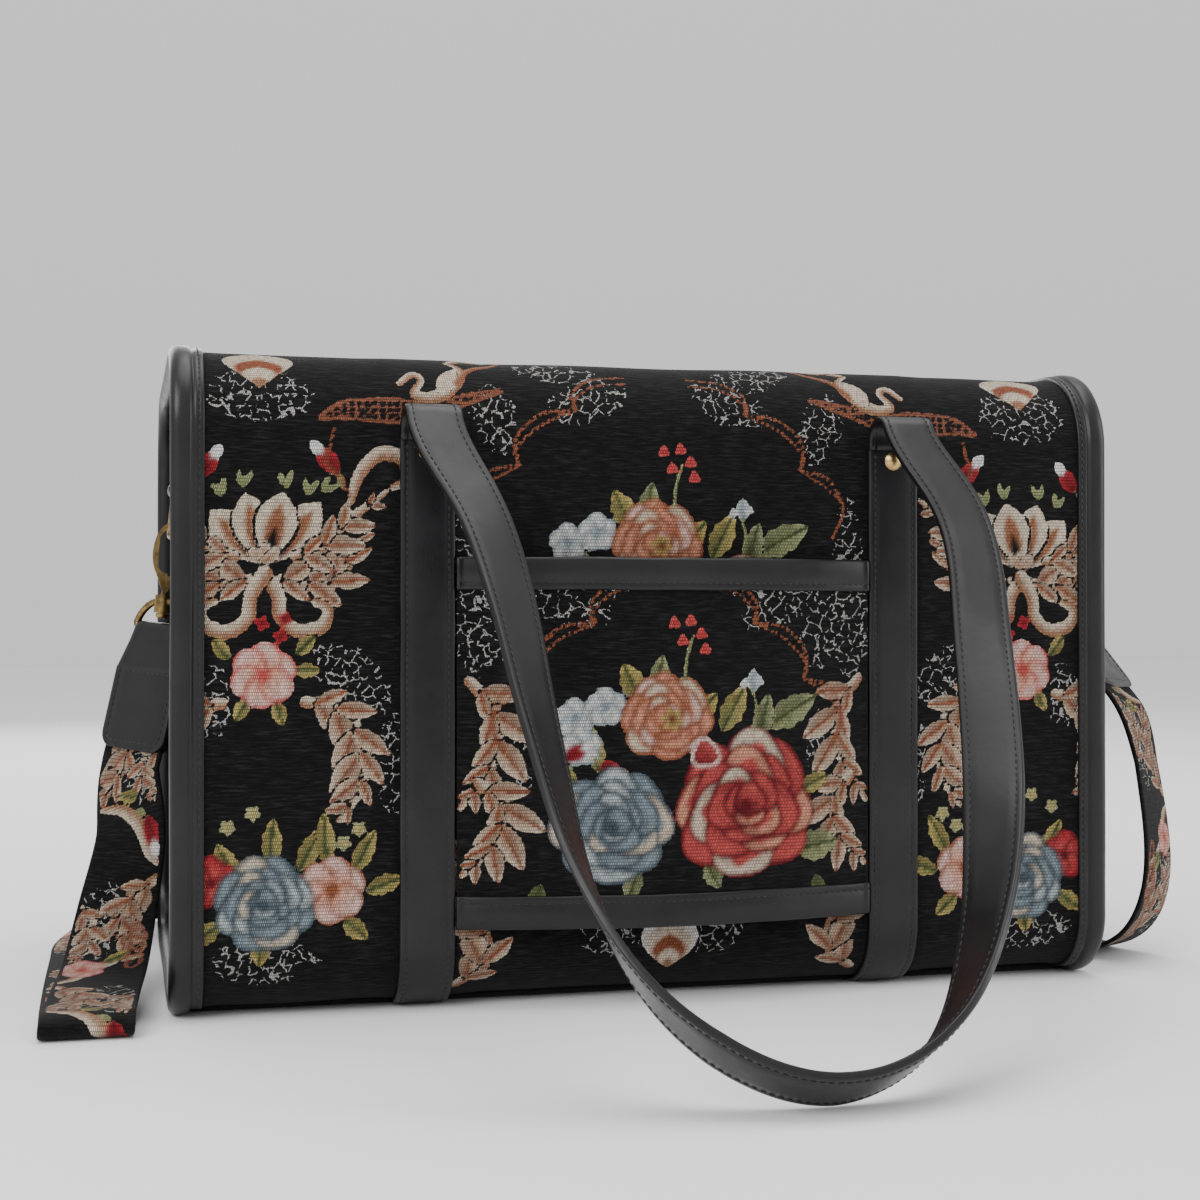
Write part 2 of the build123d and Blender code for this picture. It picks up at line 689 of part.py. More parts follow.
def clip_end(side, name, swing, slide, tab_lean):
    """One end's bag ring, hook, strap ring and tab. Returns the strap's way out of the tab."""
    ring = Rot(0, -side * swing, 0) * bag_ring()
    parts[name + "_bag_ring"] = Pos(side * ring_bar_x, 0, ring_bar_z) * ring
    place = hook_place(side, swing, slide).location
    hook, gate, pin = hook_pieces()
    parts[name + "_snap_hook"] = place * hook
    parts[name + "_hook_gate"] = place * gate
    parts[name + "_gate_pin"] = place * pin
    turned = place * Rot(0, 0, side * ring_turn)
    parts[name + "_strap_ring"] = turned * strap_ring()
    hung = turned * Pos(0, 0, strap_ring_bar) * Rot(side * tab_lean, 0, 0)
    parts[name + "_strap_tab"] = hung * strap_tab()
    frame = Plane(hung)
    deep = (hung * Pos(0, 0, pocket_depth - tab_length - 0.2)).position
    mouth = (hung * Pos(0, 0, -tab_length)).position
    clear = (hung * Pos(0, 0, -tab_length - mouth_run)).position
    return [deep, mouth, clear], frame


def shoulder_strap():
    """The strap through both tabs' pockets and along its route on the floor."""
    left_run, left = clip_end(-1, "left", left_ring_swing, left_hook_slide, left_tab_lean)
    right_run, right = clip_end(1, "right", right_ring_swing, right_hook_slide, right_tab_lean)
    points = left_run + [Vector(*point) for point, _ in shoulder_route] + right_run[::-1]
    sides = [left.x_dir] * len(left_run)
    sides += [Vector(*way) for _, way in shoulder_route]
    sides += [right.x_dir] * len(right_run)
    curve = Spline(points, tangents=[tuple(-left.z_dir), tuple(right.z_dir)])
    marks = [curve.param_at_point(point) for point in points]
    print("shoulder strap length", round(curve.length, 1))
    stations = []
    for number in range(len(points) - 1):
        for step in range(shoulder_steps):
            share = step / shoulder_steps
            place = marks[number] + (marks[number + 1] - marks[number]) * share
            way = sides[number] * (1 - share) + sides[number + 1] * share
            stations.append((place, way))
    stations.append((1.0, sides[-1]))
    frames = []
    for place, way in stations:
        direction = curve.tangent_at(place)
        across = (way - direction * way.dot(direction)).normalized()
        point = curve.position_at(place)
        flat = abs(direction.cross(across).Z)
        rest = shoulder_width / 2 * abs(across.Z) + shoulder_t / 2 * flat + floor_gap
        lifted = Vector(point.X, point.Y, max(point.Z, rest))
        frames.append((lifted, direction, across))
    return ribbon(frames, shoulder_width, shoulder_t)


parts["shoulder_strap"] = shoulder_strap()

os.makedirs("parts", exist_ok=True)
for name, piece in parts.items():
    piece.label = name
    export_step(piece, "parts/" + name + ".step")
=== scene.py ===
import bpy
import math
import numpy as np
from mathutils import Matrix, Vector


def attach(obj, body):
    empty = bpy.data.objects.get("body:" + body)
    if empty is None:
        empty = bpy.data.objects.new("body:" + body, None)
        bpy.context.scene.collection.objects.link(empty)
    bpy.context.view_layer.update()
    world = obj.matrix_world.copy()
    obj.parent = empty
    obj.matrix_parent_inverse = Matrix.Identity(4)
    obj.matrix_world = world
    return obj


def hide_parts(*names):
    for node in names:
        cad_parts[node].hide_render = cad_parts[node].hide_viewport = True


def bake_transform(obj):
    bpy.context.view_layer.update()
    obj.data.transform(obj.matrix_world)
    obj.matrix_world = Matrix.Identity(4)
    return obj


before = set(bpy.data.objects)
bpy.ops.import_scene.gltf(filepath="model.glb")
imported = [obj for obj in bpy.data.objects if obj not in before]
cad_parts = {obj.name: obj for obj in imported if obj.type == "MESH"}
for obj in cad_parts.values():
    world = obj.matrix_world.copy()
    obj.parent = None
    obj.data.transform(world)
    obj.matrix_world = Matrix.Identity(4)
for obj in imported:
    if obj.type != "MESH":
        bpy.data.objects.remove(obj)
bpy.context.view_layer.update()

unit = 0.001  # sizes below are millimetres; the meshes are made in metres


# camera and studio
cameraSettings = {"place": (-0.248, -0.980, 0.179), "turn": -14.25, "tilt": 90.5, "lens": 57.0}
studioSettings = {
    "floor": (0.86, 0.86, 0.86), "world": (1.0, 1.0, 1.0), "low": (0.78, 0.78, 0.79), "worldStrength": 1.0
}


def makeCamera(settings):
    data = bpy.data.cameras.new("camera")
    data.lens = settings["lens"]
    data.sensor_width = 36
    data.clip_start = 0.02
    data.clip_end = 60
    camera = bpy.data.objects.new("camera", data)
    camera.location = settings["place"]
    camera.rotation_euler = (math.radians(settings["tilt"]), 0, math.radians(settings["turn"]))
    bpy.context.scene.collection.objects.link(camera)
    bpy.context.scene.camera = camera


def areaLight(name, place, target, size, power, colour=(1, 1, 1)):
    data = bpy.data.lights.new(name, "AREA")
    data.shape = "RECTANGLE"
    data.size, data.size_y = size
    data.energy = power
    data.color = colour
    light = bpy.data.objects.new(name, data)
    light.location = place
    light.rotation_euler = (Vector(target) - Vector(place)).to_track_quat("-Z", "Y").to_euler()
    bpy.context.scene.collection.objects.link(light)


def addNode(tree, kind, settings=None, inputs=None):
    made = tree.nodes.new(kind)
    for key, value in (settings or {}).items():
        setattr(made, key, value)
    for key, value in (inputs or {}).items():
        if isinstance(value, bpy.types.NodeSocket):
            tree.links.new(value, made.inputs[key])
        else:
            made.inputs[key].default_value = value
    return made


def blankMaterial(name, **constants):
    material = bpy.data.materials.new(name)
    material.use_nodes = True
    tree = material.node_tree
    shader = tree.nodes["Principled BSDF"]
    for key, value in constants.items():
        shader.inputs[key.replace("_", " ")].default_value = value
    return material, tree, shader


def makeStudio(settings):
    material, tree, shader = blankMaterial("studioFloor", Roughness=0.9)
    shader.inputs["Base Color"].default_value = (*settings["floor"], 1)
    mesh = bpy.data.meshes.new("floor")
    mesh.from_pydata([(-6, -6, 0), (6, -6, 0), (6, 6, 0), (-6, 6, 0)], [], [(0, 1, 2, 3)])
    mesh.materials.append(material)
    floor = bpy.data.objects.new("floor", mesh)
    bpy.context.scene.collection.objects.link(floor)
    world = bpy.data.worlds.new("studio")
    world.use_nodes = True
    tree = world.node_tree
    way = addNode(tree, "ShaderNodeTexCoord").outputs["Generated"]
    level = addNode(tree, "ShaderNodeSeparateXYZ", None, {0: way}).outputs[2]
    rise = addNode(
        tree, "ShaderNodeMapRange", None,
        {"Value": level, "From Min": -0.2, "From Max": 0.75, "To Min": 0.0, "To Max": 1.0}
    )
    sky = addNode(tree, "ShaderNodeMix", {"data_type": "RGBA"}, {0: rise.outputs[0]})
    sky.inputs[6].default_value = (*settings["low"], 1)
    sky.inputs[7].default_value = (*settings["world"], 1)
    tree.links.new(sky.outputs[2], tree.nodes["Background"].inputs["Color"])
    world.node_tree.nodes["Background"].inputs["Strength"].default_value = settings["worldStrength"]
    bpy.context.scene.world = world
    areaLight("windowLight", (-1.5, -1.5, 1.5), (0, 0, 0.15), (1.3, 1.3), 34, (1.0, 0.99, 1.0))
    areaLight("topLight", (0.2, -0.1, 1.9), (0, 0, 0.1), (1.6, 1.2), 20)
    areaLight("sideLight", (1.9, -0.9, 0.8), (0, 0, 0.15), (0.7, 1.3), 14, (0.98, 0.98, 1.0))
    areaLight("backLight", (-0.4, 1.9, 1.1), (0, 0, 0.2), (1.6, 1.0), 22)


makeCamera(cameraSettings)
makeStudio(studioSettings)
print("camera and studio are set")


# meshes
def makeMesh(name, points, faceSets, material, cloth=None, colours=None, values=None):
    points = np.asarray(points, np.float32).reshape(-1, 3) * unit
    faceSets = [np.asarray(part, np.int32) for part in faceSets if len(part)]
    corners = np.concatenate([part.ravel() for part in faceSets])
    counts = np.concatenate([np.full(len(part), part.shape[1], np.int32) for part in faceSets])
    mesh = bpy.data.meshes.new(name)
    mesh.vertices.add(len(points))
    mesh.vertices.foreach_set("co", points.ravel())
    mesh.loops.add(len(corners))
    mesh.loops.foreach_set("vertex_index", corners)
    mesh.polygons.add(len(counts))
    starts = np.concatenate([[0], np.cumsum(counts)[:-1]]).astype(np.int32)
    mesh.polygons.foreach_set("loop_start", starts)
    mesh.polygons.foreach_set("use_smooth", np.ones(len(counts), bool))
    mesh.update(calc_edges=True)
    mesh.validate()
    if cloth is not None:
        layer = mesh.uv_layers.new(name="cloth")
        flat = np.asarray(cloth, np.float32).reshape(-1, 2)[corners] * unit
        layer.data.foreach_set("uv", flat.ravel())
    if colours is not None:
        dye = mesh.attributes.new("dye", "FLOAT_COLOR", "POINT")
        rgba = np.ones((len(points), 4), np.float32)
        rgba[:, :3] = colours
        dye.data.foreach_set("color", rgba.ravel())
    for key, value in (values or {}).items():
        field = mesh.attributes.new(key, "FLOAT", "POINT")
        field.data.foreach_set("value", np.asarray(value, np.float32).ravel())
    mesh.materials.append(material)
    made = bpy.data.objects.new(name, mesh)
    bpy.context.scene.collection.objects.link(made)
    return made


def gridFaces(rows, columns, closedRows=False, closedColumns=False, start=0):
    down = np.arange(rows if closedRows else rows - 1)
    along = np.arange(columns if closedColumns else columns - 1)
    i, j = np.meshgrid(down, along, indexing="ij")
    nextI, nextJ = (i + 1) % rows, (j + 1) % columns
    corners = [i * columns + j, i * columns + nextJ, nextI * columns + nextJ, nextI * columns + j]
    return np.stack(corners, -1).reshape(-1, 4) + start


def unitRows(vectors):
    return vectors / np.maximum(np.linalg.norm(vectors, axis=-1, keepdims=True), 1e-9)


def sweep(name, centres, sides, ups, section, material, closed=False):
    # section: (points, 2) or (stations, points, 2), counter-clockwise over (side, up)
    centres, sides, ups = (np.asarray(part, float) for part in (centres, sides, ups))
    section = np.asarray(section, float)
    if section.ndim == 2:
        section = np.repeat(section[None], len(centres), 0)
    rows, columns = len(centres), section.shape[1]
    points = centres[:, None] + sides[:, None] * section[..., :1] + ups[:, None] * section[..., 1:]
    faces = gridFaces(rows, columns, closedRows=closed, closedColumns=True)
    walked = np.roll(centres, -1, 0) - centres
    if not closed:
        walked[-1] = walked[-2]
    forward = np.sum(np.cross(sides, ups) * walked) > 0
    if not forward:
        faces = faces[:, ::-1]
    faceSets = [faces]
    points = points.reshape(-1, 3)
    lengths = np.concatenate([[0], np.cumsum(np.linalg.norm(walked[:-1], axis=1))])
    around = np.concatenate([[0], np.cumsum(np.linalg.norm(np.diff(section[0], axis=0), axis=1))])
    cloth = np.stack(np.broadcast_arrays(around[None, :], lengths[:, None]), -1).reshape(-1, 2)
    if not closed:
        first, last = np.arange(columns), (rows - 1) * columns + np.arange(columns)
        for ring, flipped in ((first, forward), (last, not forward)):
            middle = len(points)
            points = np.concatenate([points, points[ring].mean(0, keepdims=True)])
            cloth = np.concatenate([cloth, cloth[ring].mean(0, keepdims=True)])
            fan = np.stack([ring, np.roll(ring, -1), np.full(columns, middle)], -1)
            faceSets.append(fan[:, ::-1] if flipped else fan)
    return makeMesh(name, points, faceSets, material, cloth)


def smoothCurve(points, startWay, endWay, count):
    # a C2 cubic through the points, by chord length, evenly sampled
    points = np.asarray(points, float)
    chords = np.linalg.norm(np.diff(points, axis=0), axis=1)
    marks = np.concatenate([[0], np.cumsum(chords)])
    size = len(points)
    system, right = np.zeros((size, size)), np.zeros((size, 3))
    system[0, 0] = system[-1, -1] = 1
    right[0], right[-1] = startWay, endWay
    for i in range(1, size - 1):
        before, after = chords[i - 1], chords[i]
        system[i, i - 1], system[i, i], system[i, i + 1] = after, 2 * (before + after), before
        slopes = (points[i] - points[i - 1]) / before * after + (points[i + 1] - points[i]) / after * before
        right[i] = 3 * slopes
    tangents = np.linalg.solve(system, right)

    def at(place):
        i = np.clip(np.searchsorted(marks, place, side="right") - 1, 0, size - 2)
        span = chords[i][:, None]
        t = ((place - marks[i]) / chords[i])[:, None]
        return (
            (2 * t**3 - 3 * t**2 + 1) * points[i] + (t**3 - 2 * t**2 + t) * span * tangents[i]
            + (3 * t**2 - 2 * t**3) * points[i + 1] + (t**3 - t**2) * span * tangents[i + 1]
        )

    fine = np.linspace(0, marks[-1], 4000)
    walked = np.concatenate([[0], np.cumsum(np.linalg.norm(np.diff(at(fine), axis=0), axis=1))])
    places = np.interp(np.linspace(0, walked[-1], count), walked, fine)
    curve = at(places)
    return curve, unitRows(np.gradient(curve, axis=0)), places / marks[-1], marks / marks[-1]


def ripple(a, b, seed, waves=6, low=0.01, high=0.03):
    # a gentle unevenness from a few crossed waves, about -1 to 1
    rng = np.random.default_rng(seed)
    total = np.zeros(np.broadcast(a, b).shape)
    for _ in range(waves):
        turn, pace, phase = rng.uniform(0, math.tau), rng.uniform(low, high), rng.uniform(0, math.tau)
        total = total + np.sin((a * math.cos(turn) + b * math.sin(turn)) * pace * math.tau + phase)
    return total / waves * 1.6


# woven pattern
threadBlur = 2.2


def dyeOf(red, green, blue):
    return np.array([(part / 255) ** 2.2 for part in (red, green, blue)])


dyes = {
    "cream": dyeOf(214, 198, 176), "tan": dyeOf(160, 116, 88), "rust": dyeOf(146, 84, 58),
    "white": dyeOf(228, 226, 222), "red": dyeOf(178, 50, 58), "wine": dyeOf(104, 26, 36),
    "peach": dyeOf(214, 150, 124), "pink": dyeOf(224, 192, 182), "slate": dyeOf(138, 152, 158),
    "mist": dyeOf(186, 194, 194), "deepSlate": dyeOf(70, 82, 90), "olive": dyeOf(118, 124, 80),
    "sage": dyeOf(158, 162, 122), "gold": dyeOf(188, 166, 100), "fern": dyeOf(72, 82, 52),
    "copper": dyeOf(138, 86, 66), "blush": dyeOf(194, 84, 80), "coal": dyeOf(30, 24, 24),
}


def newCanvas(u, v):
    size = u.size
    return {
        "u": u.ravel(), "v": v.ravel(), "dye": np.full((size, 3), 0.02), "cover": np.zeros(size),
        "lace": np.zeros(size)
    }


def mirrored(canvas, axis):
    return dict(canvas, u=2 * axis - canvas["u"])


def moved(canvas, across, along):
    return dict(canvas, u=canvas["u"] - across, v=canvas["v"] - along)


def lay(canvas, place, reach, draw):
    near = np.nonzero((abs(canvas["u"] - place[0]) < reach) & (abs(canvas["v"] - place[1]) < reach))[0]
    if len(near) == 0:
        return
    gap, dye = draw(canvas["u"][near] - place[0], canvas["v"][near] - place[1])
    share = np.clip(0.5 - gap / threadBlur, 0, 1)
    old = canvas["cover"][near]
    if dye is None:
        canvas["cover"][near] = np.minimum(old, 1 - share)
        return
    hold = np.where(old < 0.5, (share > 0).astype(float), share)[:, None]
    canvas["dye"][near] = canvas["dye"][near] * (1 - hold) + dye * hold
    canvas["cover"][near] = np.maximum(old, share)


def blendDyes(low, high, share):
    share = np.clip(share, 0, 1)[:, None]
    return low * (1 - share) + high * share


def petal(canvas, place, angle, length, width, inner, outer, gap=0.0, vein=None, teeth=0, belly=0.9):
    turn = math.radians(angle)
    c, s = math.cos(turn), math.sin(turn)
    middle = (place[0] + c * length / 2, place[1] + s * length / 2)

    def shape(x, y, grow):
        a = (x * c + y * s + length / 2) / length
        b = y * c - x * s
        inside = np.clip(a, 0.001, 0.999)
        half = width / 2 * np.sin(math.pi * inside**belly) ** 0.8
        if teeth:
            half = half * (0.84 + 0.2 * abs(np.sin(inside * math.pi * teeth)))
        away = np.maximum(abs(b) - half, np.maximum(-a, a - 1) * length) - grow
        return away, a, b, half

    def drawn(x, y):
        away, a, b, half = shape(x, y, 0)
        dye = blendDyes(dyes[inner], dyes[outer], a * 0.7 + 0.6 * abs(b) / np.maximum(half, 0.5) - 0.15)
        if vein is not None:
            dye = np.where((abs(b) < 0.7)[:, None], dyes[vein], dye)
            dye = np.where(((b > 0.7) & (a < 0.8))[:, None], dye * 0.62 + dyes[vein] * 0.15, dye)
        return away, dye

    reach = length / 2 + width / 2 + 4
    if gap:
        lay(canvas, middle, reach, lambda x, y: (shape(x, y, gap)[0], None))
    lay(canvas, middle, reach, drawn)


def curvePoints(points, count=28):
    points = np.asarray(points, float)
    ends = np.concatenate([[2 * points[0] - points[1]], points, [2 * points[-1] - points[-2]]])
    out = []
    for place in np.linspace(0, len(points) - 1.0001, count):
        i, t = int(place), place % 1
        p0, p1, p2, p3 = ends[i : i + 4]
        out.append(
            0.5 * (
                2 * p1 + (p2 - p0) * t + (2 * p0 - 5 * p1 + 4 * p2 - p3) * t**2
                + (3 * p1 - p0 - 3 * p2 + p3) * t**3
            )
        )
    return np.array(out)


def stroke(canvas, points, widths, inner, outer, gap=0.0, dotted=0.0):
    line = curvePoints(points)
    thick = np.interp(np.linspace(0, 1, len(line)), np.linspace(0, 1, len(widths)), widths) / 2
    lengths = np.concatenate([[0], np.cumsum(np.linalg.norm(np.diff(line, axis=0), axis=1))])
    middle = (line.min(0) + line.max(0)) / 2
    reach = (line.max(0) - line.min(0)).max() / 2 + max(widths) / 2 + 4

    def nearest(x, y):
        p = np.stack([x, y], -1) + middle
        a, b = line[:-1], line[1:]
        way = b - a
        t = np.clip(((p[:, None] - a) * way).sum(-1) / (way**2).sum(-1), 0, 1)
        off = p[:, None] - (a + way * t[..., None])
        away = np.linalg.norm(off, axis=-1)
        half = thick[:-1] * (1 - t) + thick[1:] * t
        best = np.argmin(away - half, axis=1)
        rows = np.arange(len(p))
        side = np.sign(way[best][:, 0] * off[rows, best][:, 1] - way[best][:, 1] * off[rows, best][:, 0])
        walked = lengths[best] + t[rows, best] * np.linalg.norm(way[best], axis=1)
        return away[rows, best], half[rows, best], side, walked

    def drawn(x, y):
        away, half, side, walked = nearest(x, y)
        dye = blendDyes(dyes[inner], dyes[outer], 0.5 + 0.9 * side * away / np.maximum(half, 0.4))
        edge = away - half
        if dotted:
            edge = np.maximum(edge, (abs((walked / dotted) % 1 - 0.5) - 0.32) * dotted)
        return edge, dye

    if gap:
        lay(
            canvas, middle, reach, lambda x,
            y: (lambda away, half, *_: (away - half - gap, None))(*nearest(x, y))
        )
    lay(canvas, middle, reach, drawn)
    return line


def disc(canvas, place, size, inner, outer, lobes=0, wave=0.0, towards=None, edge=None):
    def drawn(x, y):
        radius, turn = np.hypot(x, y), np.arctan2(y, x)
        away = radius - size * (1 + wave * np.cos(lobes * turn + 1.3))
        share = radius / size
        if towards is not None:
            share = 0.5 + 0.55 * (x * math.cos(towards) + y * math.sin(towards)) / size
        dye = blendDyes(dyes[inner], dyes[outer], share)
        if edge is not None:
            dye = np.where((away > -1.5)[:, None], dyes[edge], dye)
        return away, dye

    lay(canvas, place, size * (1 + wave) + 3, drawn)


def rose(canvas, place, size, deep, middle, light, seed):
    rng = np.random.default_rng(seed)
    for count, out, big in ((8, 0.64, 0.44), (7, 0.44, 0.38), (5, 0.25, 0.30), (3, 0.10, 0.20)):
        first = rng.uniform(0, math.tau)
        for number in range(count):
            turn = first + math.tau * (number + rng.uniform(-0.15, 0.15)) / count
            centre = (place[0] + math.cos(turn) * size * out, place[1] + math.sin(turn) * size * out * 0.92)
            reach = size * big * rng.uniform(0.9, 1.1)
            disc(canvas, centre, reach + 1.6, deep, deep, 3, 0.06)
            disc(canvas, centre, reach, deep, (middle, light, middle, "cream")[number % 4], 3, 0.1, turn)
            disc(canvas, centre, reach * 0.62, deep, middle, 4, 0.12, turn + 0.5)
    disc(canvas, place, size * 0.09, deep, deep)


def openFlower(canvas, place, size, petals, inner, outer, heart):
    for number in range(petals):
        turn = math.tau * number / petals + 0.4
        centre = (place[0] + math.cos(turn) * size * 0.55, place[1] + math.sin(turn) * size * 0.55)
        disc(canvas, centre, size * 0.5 + 0.8, heart, heart)
        disc(canvas, centre, size * 0.48, inner, outer, 3, 0.07, turn)
    disc(canvas, place, size * 0.22, heart, heart, 6, 0.15)


def leaf(canvas, place, angle, length, width, light="sage", dark="olive"):
    petal(canvas, place, angle, length, width, dark, light, gap=0.7, vein="fern", teeth=4)


def bud(canvas, place, angle, size, tip="white", body="red"):
    turn = math.radians(angle)
    petal(canvas, place, angle, size, size * 0.55, "wine", body)
    end = (place[0] + math.cos(turn) * size * 0.72, place[1] + math.sin(turn) * size * 0.72)
    petal(canvas, end, angle, size * 0.5, size * 0.36, tip, tip)
    petal(canvas, place, angle + 150, size * 0.45, size * 0.22, "olive", "sage")


def sprig(canvas, points, dots, dye, size=2.0):
    stroke(canvas, points, (1.6, 1.2), "olive", "sage")
    for place in dots:
        disc(canvas, place, size, dye, "blush" if dye == "red" else "white", 3, 0.2)


def acanthus(canvas, points, width, lobes, side, inner="tan", outer="cream"):
    line = stroke(
        canvas, points, (width * 0.35, width * 0.62, width * 0.5, width * 0.2), inner, outer, gap=0.8
    )
    for number in range(lobes):
        place = (number + 0.6) / lobes
        i = min(int(place * (len(line) - 2)), len(line) - 3)
        way = math.degrees(math.atan2(*(line[i + 1] - line[i])[::-1]))
        size = width * (0.65 + 0.85 * math.sin(math.pi * min(place + 0.1, 1)))
        petal(
            canvas, line[i], way + side * 42, size * 1.25, size * 0.56, inner, outer, gap=1.1, vein="copper"
        )
        petal(canvas, line[i], way - side * 30, size * 0.95, size * 0.4, inner, outer, gap=0.9, vein="rust")


def laceCloud(canvas, place, across, along, turn=0.0):
    c, s = math.cos(turn), math.sin(turn)
    x, y = canvas["u"] - place[0], canvas["v"] - place[1]
    share = 1.15 - np.hypot((x * c + y * s) / across, (y * c - x * s) / along)
    canvas["lace"][:] = np.maximum(canvas["lace"], np.clip(share * 2.2, 0, 1))


def lattice(canvas, points, widths, pitch):
    line = curvePoints(points)
    thick = np.interp(np.linspace(0, 1, len(line)), np.linspace(0, 1, len(widths)), widths) / 2
    middle = (line.min(0) + line.max(0)) / 2
    reach = (line.max(0) - line.min(0)).max() / 2 + max(widths) + 3

    def drawn(x, y):
        p = np.stack([x, y], -1) + middle
        away = np.linalg.norm(p[:, None] - line, axis=-1)
        region = (away - thick).min(1)
        cells = np.minimum(abs((p[:, 0] / pitch) % 1 - 0.5), abs((p[:, 1] / pitch) % 1 - 0.5)) * pitch
        edge = abs(region + 0.5) - 0.75
        net = np.where(region < -0.3, np.minimum(edge, cells - 0.45), edge)
        return net, np.broadcast_to(dyes["copper"], (len(x), 3))

    lay(canvas, middle, reach, drawn)


def onCloth(height):
    # heights seen on the rounded shoulder, as distances up the cloth
    return height if height <= 263 else 263 + 37 * math.asin(min((height - 263) / 37, 0.995))


def sideSpray(canvas):
    # the palmette column at one side of the panel, drawn at the left
    column = -185
    for x, y in ((-208.4, 225.8), (-160.5, 229.6), (-193.5, 233.5), (-176.7, 234.2)):
        way = math.degrees(math.atan2(y - 201, x + 184.5))
        size = math.hypot(y - 201, x + 184.5)
        petal(canvas, (-184.5, 201), way, size, 18, "cream", "cream", gap=1.5, belly=1.35)
        petal(canvas, (-184.5, 201), way, size * 0.86, 9, "rust", "tan", belly=1.2)
        petal(canvas, (-184.5, 201), way, size * 0.55, 5, "coal", "coal")
    for flip in (1, -1):
        half = canvas if flip == 1 else mirrored(canvas, column)
        acanthus(half, [(-184, 196), (-168, 194), (-155, 195), (-146, 208), (-138, 220)], 13, 5, 1)
        acanthus(half, [(-172, 206), (-160, 210), (-148, 222), (-131, 235)], 10, 4, -1)
        stroke(
            half, [(-147, 230), (-143, 243), (-134, 252), (-124, 250), (-122, 241), (-128, 237)],
            (3, 6, 7, 5, 3), "tan", "cream", gap=0.8
        )
        stroke(
            half,
            [(-185, 198), (-179, 188), (-178, 179), (-170, 172.5), (-160, 174.5), (-157, 182), (-163, 185.5)],
            (7, 6, 6, 7, 5, 3), "tan", "cream", gap=0.8
        )
        acanthus(half, [(-167, 141), (-152, 137), (-143, 122), (-143, 103), (-152, 88)], 14, 6, -1)
    for x in (-8, 0, 8):
        petal(canvas, (column, 203), 90 - x * 6, 9, 5, "tan", "cream", gap=0.6)
    bud(canvas, (-214, 240), 55, 15)
    bud(canvas, (-152, 243), 132, 16)
    for x, y, way in (
        (-194.8, 236, 80), (-175.4, 236, 95), (-166.3, 233, 75), (-203.2, 232, 110), (-160, 235, 40)
    ):
        petal(canvas, (x, y), way - 22, 9, 3, "olive", "sage")
        petal(canvas, (x, y), way + 22, 8, 3, "olive", "sage")
    for x, y in ((-186, 176), (-176, 178), (-178, 170)):
        disc(canvas, (x, y), 3, "wine", "red", 4, 0.2)
    for x, y, way in ((-200, 160, 130), (-171, 162, 45), (-172, 155, 0), (-192, 143, 240), (-180, 142, 285)):
        leaf(canvas, (x, y), way, 12, 7, "gold", "olive")
    openFlower(canvas, (-185.5, 153), 13.5, 6, "peach", "pink", "blush")
    for x, y, way, size in (
        (-196, 62, 120, 20), (-182, 68, 88, 22), (-170, 66, 62, 22), (-157, 68, 95, 24), (-146, 64, 62, 22),
        (-140, 56, 20, 18), (-204, 44, 215, 16), (-150, 44, 320, 14), (-186, 38, 265, 14),
    ):
        leaf(canvas, (x, y), way, size, 9, "gold", "olive")
    openFlower(canvas, (-208, 62), 11, 5, "blush", "red", "wine")
    openFlower(canvas, (-155, 57), 14, 6, "peach", "pink", "rust")
    rose(canvas, (-185, 52), 19, "deepSlate", "slate", "mist", 4)
    for x, y in ((-150, 78), (-143, 84), (-201, 86), (-190, 92)):
        disc(canvas, (x, y), 3.2, "gold", "sage", 5, 0.2)
    laceCloud(canvas, (-146, 152), 22, 13, -0.7)
    laceCloud(canvas, (-126, 112), 10, 26)
    laceCloud(canvas, (-207, 140), 8, 18)
    laceCloud(canvas, (-187, onCloth(279)), 25, 17)
    laceCloud(canvas, (-186, 26), 26, 11)


def shoulderScrolls(canvas):
    # scroll, lattice and heart along the top edge of the panel
    up = onCloth
    for size, shade in ((30, "cream"), (21, "rust"), (14, "cream"), (7, "tan")):
        petal(canvas, (-187, up(281)), 90, size, size * 1.05, shade, shade, belly=1.5)
    lattice(
        canvas,
        [(-160, up(268)), (-148, up(272)), (-128, up(272)), (-112, up(272)), (-92, up(279)), (-78, up(283))],
        (3, 10, 13, 9, 6, 3), 3.4
    )
    stroke(
        canvas, [(-154, up(264)), (-156, 256), (-158, 248), (-151, 240), (-147, 232)], (1.7, 1.7), "copper",
        "rust", dotted=2.6
    )
    stroke(canvas, [
        (-124, up(285)), (-118, up(290)), (-114, up(287)), (-118, up(280)), (-108, up(279)), (-98, up(286)),
        (-95, up(293)), (-101, up(297))
    ],
           (3, 4, 3, 4, 7, 6, 4, 2), "tan", "cream", gap=0.8)
    petal(canvas, (-106, up(280)), 65, 20, 9, "cream", "cream", gap=0.6)
    stroke(
        canvas, [(-98, up(286)), (-90, up(294)), (-80, up(297)), (-74, up(299))], (3, 3, 2), "rust", "tan"
    )


